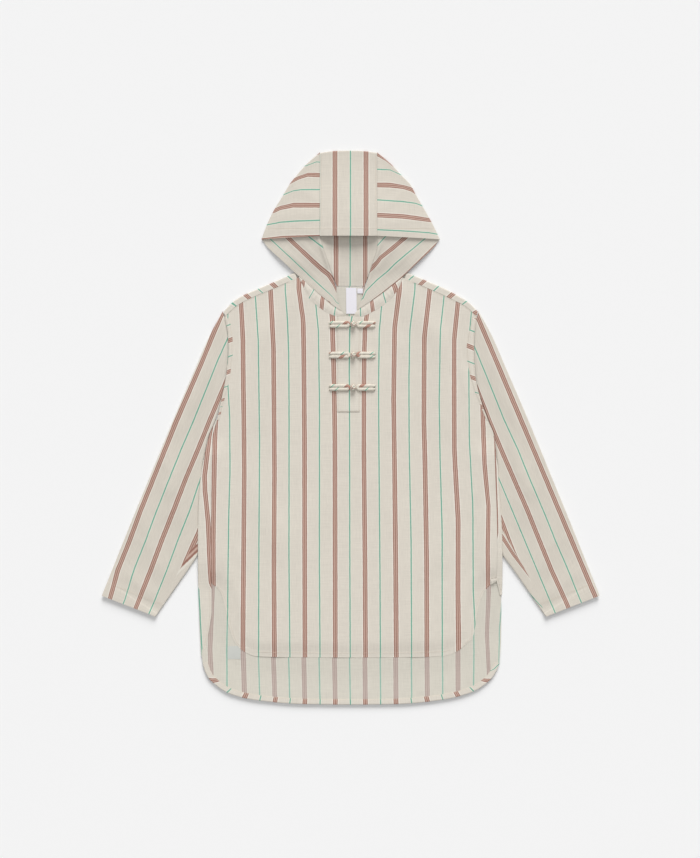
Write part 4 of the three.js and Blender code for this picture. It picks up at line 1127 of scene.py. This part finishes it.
def hood_side(side):
    key, name = SIDE_X[side], SIDE_NAME[side]
    seam_places = points(HOOD_SEAM, key) + [side * SEAM, 0]
    vs = spread(84, *np.linspace(0.9, 0.995, 8))
    edge = line_through(points(HOOD_OUTLINE, key))(vs)
    lower_end = line_through(seam_places)(vs)
    upper_end = np.stack([np.full(len(vs), seam_places[0, 0]),
                          seam_places[0, 1] + (FACE_EDGE_Y - seam_places[0, 1]) * vs], axis=1)
    low, high = neck_rise(edge[:, 1]), crown_top(edge[:, 0], edge[:, 1])
    from_face = (1 - vs) * HOOD_EDGE_LENGTH
    hem = FACE_HEM_RISE * (1 - smooth(from_face, FACE_HEM - 2, FACE_HEM + 2))[:, None]
    turn = np.linspace(-np.pi / 2, np.pi / 2, 9)
    radius = ((high - low) / 2)[:, None, None]
    share = ((1 + np.sin(turn)) / 2)[None, :, None]
    way = unit(lower_end - edge)[:, None] * (1 - share) + unit(upper_end - edge)[:, None] * share
    room = np.minimum(radius, 0.4 * np.hypot(*(upper_end - edge).T)[:, None, None])
    flat = edge[:, None] + way * room * (1 - np.cos(turn))[None, :, None]
    arc = stack(flat[..., 0], flat[..., 1], low[:, None] + radius[..., 0] * (1 + np.sin(turn)))
    arc[:, -1, 2] += hem[:, 0]
    t = np.linspace(0, 1, 42)[:, None]
    lower = lower_end[:, None] + (arc[:, 0, :2] - lower_end)[:, None] * t
    swell = swell_out(side, lower)[0] * smooth(vs, 0.72, 1)[:, None]
    lower = lower + hood_diagonal(side)[3] * (swell * (1 - smooth(t[:, 0], 0.97, 1)))[..., None]
    x, y = lower[..., 0], lower[..., 1]
    creased = ridges(INSIDE_CREASES, x, y) * smooth(y, 235, 300)
    rolled = seam_roll(np.abs(x - lower_end[:, None, 0]))
    creased += rolled * smooth(y, 270, 300) * (1 - smooth(y, 400, 440))
    creased += mouth_puff(x, y)
    lower = stack(x, y, np.where(t[:, 0] == 1, low[:, None], neck_rise(y) + creased))
    t = np.linspace(0, 1, 34)[1:, None]
    upper = arc[:, -1:, :2] + (upper_end[:, None] - arc[:, -1:, :2]) * t
    x, y = upper[..., 0], upper[..., 1]
    upper = stack(x, y, crown_top(x, y) + hem)
    outside = np.concatenate([arc, upper], axis=1)
    way, stripes = INSIDE_STRIPES[side]
    grids = [
        grid(lower, phase_between(stripes, lower[..., 0], lower[..., 1], way),
             (lower[..., 0] * way[0] + lower[..., 1] * way[1]) / REPEAT, side > 0),
        grid(outside, phase_between(CROWN_STRIPES[side], outside[..., 0], outside[..., 1], (1, 0)),
             outside[..., 0] / REPEAT, side > 0),
    ]
    piece = sheet(f"hood_{name}_cloth", grids, LINED_FACES, f"hood_side_{name}")


for side in SIDES:
    hood_side(side)


# %% Hood centre panel
CROWN_LEFT, CROWN_WIDTH = -61.4, 114.0
CROWN_GREEN, CROWN_REPEAT = -31.4, 62
INSIDE_TICKS = [-100, -28.7, -1.2, 29.5, 56.4, 88], [-1, 0, 0.5, 1, 1.5, 2]


def hood_centre():
    us = spread(44, 0.01, 0.02, 0.98, 0.99)
    left, right = (by_height(HOOD_SEAM, SIDE_X[side]) for side in SIDES)
    from_middle = np.abs(2 * us - 1)
    top_edge = CROWN_Y - 4.8 * from_middle ** 2.6
    ys = NAPE_Y + (top_edge - 6 - NAPE_Y) * np.linspace(0, 1, 66)[:, None]
    x = left(ys) + (right(ys) - left(ys)) * us
    side_lift = from_middle ** 6 * (1 - smooth(ys, 400, 440))
    side_lift = side_lift + mouth_puff(x, ys) * from_middle ** 3.5
    raised_seams = neck_rise(ys) * from_middle ** 2 * smooth(ys, NAPE_Y + 2, NAPE_Y + 30)
    lower = stack(x, ys, raised_seams + ridges(INSIDE_CREASES, x, ys) + side_lift)
    top_x = CROWN_LEFT + CROWN_WIDTH * us
    edge = np.stack([top_x, top_edge], axis=1)
    high = crown_top(top_x, top_edge - 2.0)
    arc = wrap_round(edge, np.tile([0.0, -1.0], (len(us), 1)), 0 * top_x, high, 9).transpose(1, 0, 2)
    steps = np.concatenate([np.linspace(0, 0.88, 42), np.linspace(0.885, 1, 14)])[:, None]
    down = top_edge - 4 + (FACE_EDGE_Y - top_edge + 4) * steps
    hem = FACE_HEM_RISE * (1 - smooth(down - FACE_EDGE_Y, FACE_HEM - 2, FACE_HEM + 2))
    seams = -0.5 * np.exp(-(np.minimum(us, 1 - us) * CROWN_WIDTH / 1.8) ** 2)
    upper = stack(top_x, down, crown_top(top_x + 0 * down, down) + hem + seams)
    outside = np.concatenate([arc, upper], axis=0)
    inside = np.concatenate([lower, arc[:1]])
    crown_phase = (outside[..., 0] - CROWN_GREEN) / CROWN_REPEAT
    grids = [grid(inside, np.interp(inside[..., 0], *INSIDE_TICKS), inside[..., 1] / REPEAT),
             grid(outside, crown_phase, -outside[..., 1] / REPEAT)]
    return sheet("hood_centre_cloth", grids, LINED_FACES, "hood_centre")


hood_centre()

# %% [markdown]
# ## Neckband, armhole strips and placket
# These are narrow strips of the same cotton, sewn on top. The neckband covers the seam between
# front and hood; a strip covers each armhole's front half; the placket is a long box of cloth. They
# are gently rounded across, because cloth folded to a strip never lies dead flat.

# %% Narrow strips
NECK_TICKS = {
    -1: ([-104, -95.4, -83.4, -58.4, -33, -20], [-98, -94.6, -73.2, -56.2, -30.2, -19],
         [-0.2, 0, 0.5, 1, 1.5, 1.75]),
    1: ([104, 90.6, 70.4, 44.2, 20, 14], [99, 85.2, 64.6, 41.4, 19.6, 14],
        [-0.25, 0, 0.5, 1, 1.5, 1.6]),
}
STRIP_TICKS = {
    -1: ([14, 27, 52, 79, 108.6, 140, 172, 202, 226, 240], [4.3, 4, 3, 2.5, 2, 1.5, 1, 0.5, 0, -0.3]),
    1: ([14, 40, 67, 96, 126, 157, 190, 219, 240], [3.4, 3, 2.5, 2, 1.5, 1, 0.5, 0, -0.4]),
}
ARMHOLE_STRIP_END = 14


def strip(name, plan, top, phase, along, node, flipped):
    """A strip of cloth, thick enough to show its edge, round towards both long edges."""
    skin = grid(stack(plan[..., 0], plan[..., 1], top), phase, along, flipped)
    return sheet(name, [skin], CLOTH_FACES, node, thickness=0.7)


def ease(u, edge):
    """1 in the middle of a strip and 0 at its edges."""
    return smooth(u, 0, edge) * smooth(1 - u, 0, edge)


NECK_ENDS = {-1: rows("x y bandX bandY", (-11.0, 221.2, -10.4, 225.8)),
             1: rows("x y bandX bandY", (5.0, 221.2, 6.0, 225.8))}


def neckband(side):
    table, name = NECK[side] + NECK_ENDS[side], SIDE_NAME[side]
    us, vs = np.linspace(0, 1, 13), spread(90)
    outer = line_through(points(table))(vs)
    inner = line_through(points(table, "bandX", "bandY"))(vs)
    inner = lower_edge(side, swell_out(side, inner)[1], 0.35)
    plan = outer[:, None] + (inner - outer)[:, None] * us[:, None]
    outer_x, inner_x, numbers = (np.array(row, float) for row in NECK_TICKS[side])
    phases = []
    for edge_x, ticks in ((outer[:, 0], outer_x), (inner[:, 0], inner_x)):
        order = np.argsort(ticks)
        phases.append(np.interp(edge_x, ticks[order], numbers[order]))
    phase = phases[0][:, None] * (1 - us) + phases[1][:, None] * us
    body = front_top(plan[..., 0], plan[..., 1])
    gathers = 0.18 * np.sin(vs * 61 + 2.2 * np.sin(vs * 17))[:, None] * ease(us, 0.3)[None, :]
    top = np.minimum(body, 4.6) + 0.15 + 0.8 * ease(us, 0.4)[None, :] + gathers
    piece = strip(f"neckband_{name}_cloth", plan, top, phase, us * 14 / REPEAT,
                  f"neckband_{name}", side > 0)


STRIP_WIDTHS = {
    -1: ([14, 52, 79, 108.6, 140, 172, 202, 226], [4, 5.5, 6.5, 7.5, 8.7, 9, 9, 8]),
    1: ([14, 40, 67, 96, 127, 158, 175, 192, 198, 218], [3, 4, 6, 9.4, 13.5, 15, 13.5, 12.4, 9.5, 10]),
}


def armhole_strip(side):
    line = line_through([p for p in front_side(side) if p[1] >= ARMHOLE_STRIP_END])
    us, vs = np.linspace(0, 1, 11), spread(100)
    seam = line(vs)[:, None]
    inwards = us * np.interp(seam[..., 1], *STRIP_WIDTHS[side])
    x = seam[..., 0] - side * (SEAM + inwards)
    y = seam[..., 1] - 3 * (1 - vs[:, None]) + 0 * us
    phase = np.interp(y - 0.4 * inwards, *STRIP_TICKS[side])
    top = front_top(x, y) + 0.3 + 0.45 * ease(us, 0.3)[None, :]
    name = SIDE_NAME[side]
    piece = strip(f"armhole_strip_{name}_cloth", np.stack([x, y], axis=-1), top, phase,
                  us * 10 / REPEAT + 0 * phase, f"armhole_strip_{name}", side > 0)


def placket_panel():
    us, vs = spread(30, 0.015, 0.03, 0.97, 0.985), spread(96, 0.01, 0.02, 0.98, 0.99)
    x = (PLACKET["left"] + (PLACKET["right"] - PLACKET["left"]) * us)[None, :]
    y = (PLACKET["top"] + (PLACKET["bottom"] - PLACKET["top"]) * vs)[:, None]
    x, y = np.broadcast_arrays(x, y)
    soft = ease(us, 0.05)[None, :] * smooth(1 - vs, 0, 0.012)[:, None]
    top = front_top(x, y) + 0.15 + 0.4 * smooth(1 - vs, 0, 0.03)[:, None] + 0.95 * soft
    piece = strip("placket_cloth", np.stack([x, y], axis=-1), top,
                  phase_between(FRONT_STRIPES, x, y), y / REPEAT, "placket", False)


for make in (neckband, armhole_strip):
    for side in SIDES:
        make(side)
placket_panel()


# %% Labels
def label(name, left, right, top_y, bottom_y, node, lean=0.0, base=1.9, below="hood_centre_cloth",
          finish=LABEL):
    """A ribbon sewn in at its top; its free corners lift a little."""
    us, vs = np.linspace(0, 1, 17), np.linspace(0, 1, 33)[:, None]
    x = left + (right - left) * us + lean * vs
    y = top_y + (bottom_y - top_y) * vs + 0 * us
    rise = base + 0.5 * vs ** 2 * np.abs(2 * us - 1) ** 2 + 0.25 * np.sin(3.1 * vs)
    piece = sheet(name, [grid(stack(x, y, rise), us / 3, vs)], [finish, finish], node,
                  thickness=0.35)


label("main_label_ribbon", -9.4, 11.4, 278.4, 226.4, "main_label", 0.6)
label("size_tag_ribbon", 13.4, 24.2, 277, 267, "size_tag")
label("care_label_ribbon", -246, -220, -438, -464, None, 0.0, 0.75, "back", CARE_LABEL)

# %% [markdown]
# ## Toggles
# Each toggle is a bias cord, sewn as a tube and turned. A loop of it comes from the left, a tail
# from the right, and a knotted ball sits between them. The stripes of cloth cut on the bias wind
# round the cord, so the UV map adds a turn to the phase for each turn round it.

# %% Cords and knots
TOGGLE_LEFT, TOGGLE_RIGHT, KNOT_X = -44.4, 50.6, 4.9
TOGGLE_ROWS = rows("place y loopFirst tailFirst", ("upper", 204.8, 0.33, -0.1),
                   ("middle", 143.6, -0.05, 0.27), ("lower", 78.8, 0.28, 0.44))
RUN_OFFSET, CORD_HALF, CORD_RISE = 3.4, 3.4, 1.8
KNOT_BALL, KNOT_FLAT, KNOT_POINTS = 6.4, 0.78, 181


def on_placket(x, y):
    step = smooth(x, -33.4, -27.4) * (1 - smooth(x, 18.6, 24.6))
    return front_top(x, y) + 0.3 + 1.3 * step


def tube(centre, side_way, up_way, wide, tall, taper, twist, lead, slant, first, around=18):
    """A cord's skin along its middle line."""
    angles = np.linspace(-np.pi / 2, 3 * np.pi / 2, around + 1)
    steps = np.linalg.norm(np.diff(centre, axis=0), axis=1)
    length = np.concatenate([[0], np.cumsum(steps)])
    ribs = 1 + 0.05 * np.cos(3 * angles[None] + twist * length[:, None])
    size = taper[:, None] * ribs
    skin = (centre[:, None] + side_way[:, None] * (wide * np.cos(angles)[None] * size)[..., None]
            + up_way[:, None] * (tall * np.sin(angles)[None] * size)[..., None])
    phase = first + length[:, None] / lead + slant * angles[None] / (2 * np.pi)
    return grid(skin, phase, 0 * phase + length[:, None] / REPEAT)


def cord_path(end_x, turn_x, y):
    """Two runs side by side with a round bend at the knot's end."""
    way = np.sign(turn_x - end_x)
    bend_x = turn_x - way * (RUN_OFFSET + CORD_HALF)
    run = np.linspace(end_x, bend_x, 16)
    angles = np.linspace(np.pi / 2, -np.pi / 2, 15)[1:-1]
    first = np.stack([run, np.full(16, y + RUN_OFFSET)], axis=1)
    bend = np.stack([bend_x + way * RUN_OFFSET * np.cos(angles), y + RUN_OFFSET * np.sin(angles)], axis=1)
    second = np.stack([run[::-1], np.full(16, y - RUN_OFFSET)], axis=1)
    return np.concatenate([first, bend, second])


def toggle_cord(place, part, end_x, turn_x, y, first):
    path = cord_path(end_x, turn_x, y)
    tangent = unit(np.gradient(path, axis=0))
    across = stack(-tangent[:, 1], tangent[:, 0], 0.0)
    upward = np.tile([0.0, 0.0, 1.0], (len(path), 1))
    z = on_placket(path[:, 0], path[:, 1]) + CORD_RISE
    z -= 0.5 * (1 - smooth(np.abs(path[:, 0] - end_x), 0, 5))
    taper = np.concatenate([[0.02, 0.55, 0.85], np.ones(len(path) - 6), [0.85, 0.55, 0.02]])
    grids = [tube(stack(path[:, 0], path[:, 1], z), across, upward, CORD_HALF, CORD_RISE, taper, 0.62,
                  60.0, 0.34, first)]
    return solid(f"toggle_{place}_{part}_cord", grids, [BIAS], f"toggle_{place}_{part}")


def toggle_knot(place, y):
    """A cord woven over and under itself into a ball."""
    t = np.linspace(0, 2 * np.pi, KNOT_POINTS)
    turn, rise = 3 * t, 0.95 * np.sin(4 * t)
    radius = KNOT_BALL - 1.5 + 0.5 * np.cos(8 * t + 0.5)
    centre = stack(radius * np.sin(rise), radius * np.cos(rise) * np.cos(turn),
                   radius * np.cos(rise) * np.sin(turn))
    centre[:, 2] *= KNOT_FLAT
    out = centre / np.linalg.norm(centre, axis=1)[:, None]
    tangent = np.roll(centre, -1, axis=0) - np.roll(centre, 1, axis=0)
    tangent[0] = tangent[-1] = centre[1] - centre[-2]
    tangent /= np.linalg.norm(tangent, axis=1)[:, None]
    across = np.cross(tangent, out)
    across /= np.linalg.norm(across, axis=1)[:, None]
    middle = np.array([KNOT_X, y - 0.4, on_placket(KNOT_X, y) + KNOT_FLAT * KNOT_BALL])
    wound = tube(centre + middle, across, np.cross(across, tangent), 2.1, 1.6, np.ones(KNOT_POINTS),
                 0.0, 13.0, 1.0, 0.1, 10)
    polar, ring = np.linspace(-np.pi / 2, np.pi / 2, 13)[:, None], np.linspace(0, 2 * np.pi, 21)
    core = middle + (KNOT_BALL - 1.7) * stack(np.sin(polar) + 0 * ring, np.cos(polar) * np.cos(ring),
                                               KNOT_FLAT * np.cos(polar) * np.sin(ring))
    return solid(f"toggle_{place}_knot_ball", [wound, grid(core, polar, ring / 6)], [BIAS],
                 f"toggle_{place}_knot")


for row in TOGGLE_ROWS:
    gap = KNOT_BALL - 0.6
    toggle_cord(row["place"], "loop", TOGGLE_LEFT, KNOT_X - gap, row["y"], row["loopFirst"])
    toggle_cord(row["place"], "tail", TOGGLE_RIGHT, KNOT_X + gap, row["y"], row["tailFirst"])
    toggle_knot(row["place"], row["y"])

# %% [markdown]
# ## Stitches
# The seams are topstitched with cream thread. One stitch is modelled from a sphere, flattened and
# cut off below, and copies of it are laid along each seam line at the machine's own pitch, on the
# height that the cloth has there.

# %% One stitch, then the rows
STITCH_PITCH = 2.8
# How far the thread's middle stands above the surface that each row is sewn on.
ON_HEM, ON_SEAM, ON_STRIP, ON_PLACKET, ON_PLACKET_END = 0.13, 0.02, 0.72, 1.46, 1.12
ON_TAIL, ON_CUFF, ON_FACE_HEM, ON_CROWN = 2 * CLOTH + 0.32, 0.42 + 0.56 * CUFF_CURL, 0.37, 0.03
deselect()
bpy.ops.mesh.primitive_uv_sphere_add(segments=6, ring_count=4, radius=1, location=(0, 0, 0))
model = bpy.context.object
bpy.ops.object.mode_set(mode="EDIT")
bpy.ops.mesh.select_all(action="SELECT")
bpy.ops.transform.rotate(value=math.pi / 2, orient_axis="Y", center_override=(0, 0, 0))
bpy.ops.transform.resize(value=(1.1, 0.26, 0.24))
bpy.ops.mesh.select_all(action="SELECT")
bpy.ops.mesh.bisect(plane_co=(0, 0, -0.1), plane_no=(0, 0, 1), use_fill=True, clear_inner=True)
bpy.ops.object.mode_set(mode="OBJECT")
STITCH = np.array([v.co[:] for v in model.data.vertices])
STITCH_FACES = [list(face.vertices) for face in model.data.polygons]
bpy.data.objects.remove(model)


def even_places(path, pitch):
    path = np.asarray(path, float)
    lengths = np.concatenate([[0], np.cumsum(np.hypot(*np.diff(path, axis=0).T))])
    at = np.arange(pitch / 2, lengths[-1], pitch)
    return np.stack([np.interp(at, lengths, path[:, k]) for k in (0, 1)], axis=1)


def offset_path(path, distance):
    """The path moved to its left."""
    path = np.asarray(path, float)
    way = unit(np.gradient(path, axis=0))
    return path + distance * np.stack([-way[:, 1], way[:, 0]], axis=1)


def sew(name, rows_of_stitches):
    """One mesh with every stitch of the rows; a row is a path and the height of the cloth on it."""
    places, faces, count = [], [], 0
    for path, height in rows_of_stitches:
        at = even_places(path, STITCH_PITCH)
        way = unit(np.gradient(at, axis=0))
        z = height(at[:, 0], at[:, 1])
        slope = np.gradient(z) / STITCH_PITCH
        x = at[:, :1] + way[:, :1] * STITCH[:, 0] - way[:, 1:] * STITCH[:, 1]
        y = at[:, 1:] + way[:, 1:] * STITCH[:, 0] + way[:, :1] * STITCH[:, 1]
        up = z[:, None] + slope[:, None] * STITCH[:, 0] + STITCH[:, 2]
        places.append(stack(x, y, up).reshape(-1, 3) * MM)
        for i in range(len(at)):
            start = (count + i) * len(STITCH)
            faces += [[start + v for v in face] for face in STITCH_FACES]
        count += len(at)
    mesh = bpy.data.meshes.new(name)
    mesh.from_pydata(np.concatenate(places).tolist(), [], faces)
    piece = new_object(name, mesh)
    finish_mesh(piece, [THREAD], None)
    print(f"{name}: {count} stitches")


def raised(top, value):
    return lambda x, y: top(x, y) + value


def smooth_path(places):
    return line_through(places)(np.linspace(0, 1, 160))


hem_line = smooth_path(points(FRONT_HEM))
body_rows = [(offset_path(hem_line, BOTTOM_HEM)[12:-12], raised(front_cloth, ON_HEM))]
for side in SIDES:
    slit = smooth_path(front_side(side)[-SLIT_PLACES:])
    body_rows.append((slit + [-side * SLIT_HEM, 0], raised(front_cloth, ON_HEM)))
    seam = smooth_path(sorted(zip(*(column(SHOULDER[side], key) for key in ("seamX", "seamY")))))
    body_rows.append((seam[4:-4] - [0, 2.6], raised(front_top, ON_SEAM)))
    strip_line = smooth_path([p for p in front_side(side) if p[1] >= ARMHOLE_STRIP_END])
    body_rows.append((strip_line - [side * 2.0, 0], raised(front_top, ON_STRIP)))
    inner_edge = np.interp(strip_line[:, 1:], *STRIP_WIDTHS[side]) - 1.6
    body_rows.append((strip_line - side * inner_edge * [1, 0], raised(front_top, ON_STRIP)))
left, right, upper_end, lower_end = (PLACKET[key] for key in ("left", "right", "top", "bottom"))
for x in (left + 2.2, right - 2.2):
    body_rows.append(([(x, upper_end - 2), (x, lower_end + 2)], raised(front_top, ON_PLACKET)))
across_end = [(left + 2.2, lower_end + 2), (right - 2.2, lower_end + 2)]
body_rows.append((across_end, raised(front_top, ON_PLACKET_END)))
sew("body_topstitch", body_rows)

tail_line = smooth_path(points(BACK_TAIL))
back_rows = [(offset_path(tail_line, TAIL_HEM - 1.2), raised(tail_curl, ON_TAIL))]
for side in SIDES:
    slit_rows = [row for row in FLAP[side] if row["y"] <= SLIT_TOP_Y[side]]
    edge_path = [(row["seamX"] + side * 3.2, row["y"]) for row in slit_rows]
    back_rows.append((smooth_path(edge_path),
                      lambda x, y: front_top(x, y) + 0.1 - 0.86 * smooth(-y, *SLIT_SETTLE)))
sew("back_topstitch", back_rows)

CUFF_ROW = [(486.2, -311.6), (376.6, -353.6)]
for side in SIDES:
    cuff_line = [(side * x, y) for x, y in CUFF_ROW]
    sew(f"cuff_topstitch_{SIDE_NAME[side]}", [(cuff_line, raised(sleeve_top, ON_CUFF))])

hood_rows = []
across_face = np.linspace(-166, 163, 140)
hood_rows.append((np.stack([across_face, 0 * across_face + FACE_EDGE_Y + FACE_HEM - 1], axis=1),
                  raised(crown_top, ON_FACE_HEM)))
for x in (-58.8, 50.0):
    hood_rows.append(([(x, 542), (x, FACE_EDGE_Y + 2)], raised(crown_top, ON_CROWN)))
for side in SIDES:
    hood_rows.append((lower_edge(side, np.linspace(0.08, 0.86, 90), -2.6),
                      lambda x, y: neck_rise(y) + CLOTH + 0.05 + mouth_puff(x, y)))
sew("hood_topstitch", hood_rows)

# %% [markdown]
# ## Light
# The shirt lies under a soft window-like light from the hood's end, with light from the room
# filling the rest. It leaves a narrow soft shadow below each edge, which is how thin cloth reads.

# %% Floor, lights and finish
bpy.ops.mesh.primitive_plane_add(size=9, location=(0, 0, -0.001))
floor = bpy.context.object
floor.name = "floor"
floor.data.materials.append(FLOOR)


def sun(name, direction, spread_degrees, strength):
    """Even light from one side; a wide spread makes its shadows soft."""
    light = bpy.data.lights.new(name, "SUN")
    light.angle = math.radians(spread_degrees)
    light.energy = strength
    holder = bpy.data.objects.new(name, light)
    holder.location = direction
    holder.rotation_euler = Vector(direction).to_track_quat("Z", "Y").to_euler()
    bpy.context.collection.objects.link(holder)


sun("window light", (0.12, 1.0, 0.52), 32, 3.2)
sun("room light", (-0.1, -0.2, 1.0), 80, 0.81)
world = bpy.data.worlds.new("room")
world.use_nodes = True
world.node_tree.nodes["Background"].inputs["Color"].default_value = (1.0, 1.0, 1.0, 1)
world.node_tree.nodes["Background"].inputs["Strength"].default_value = 0.285
bpy.context.scene.world = world
bpy.context.scene.view_settings.view_transform = "Standard"
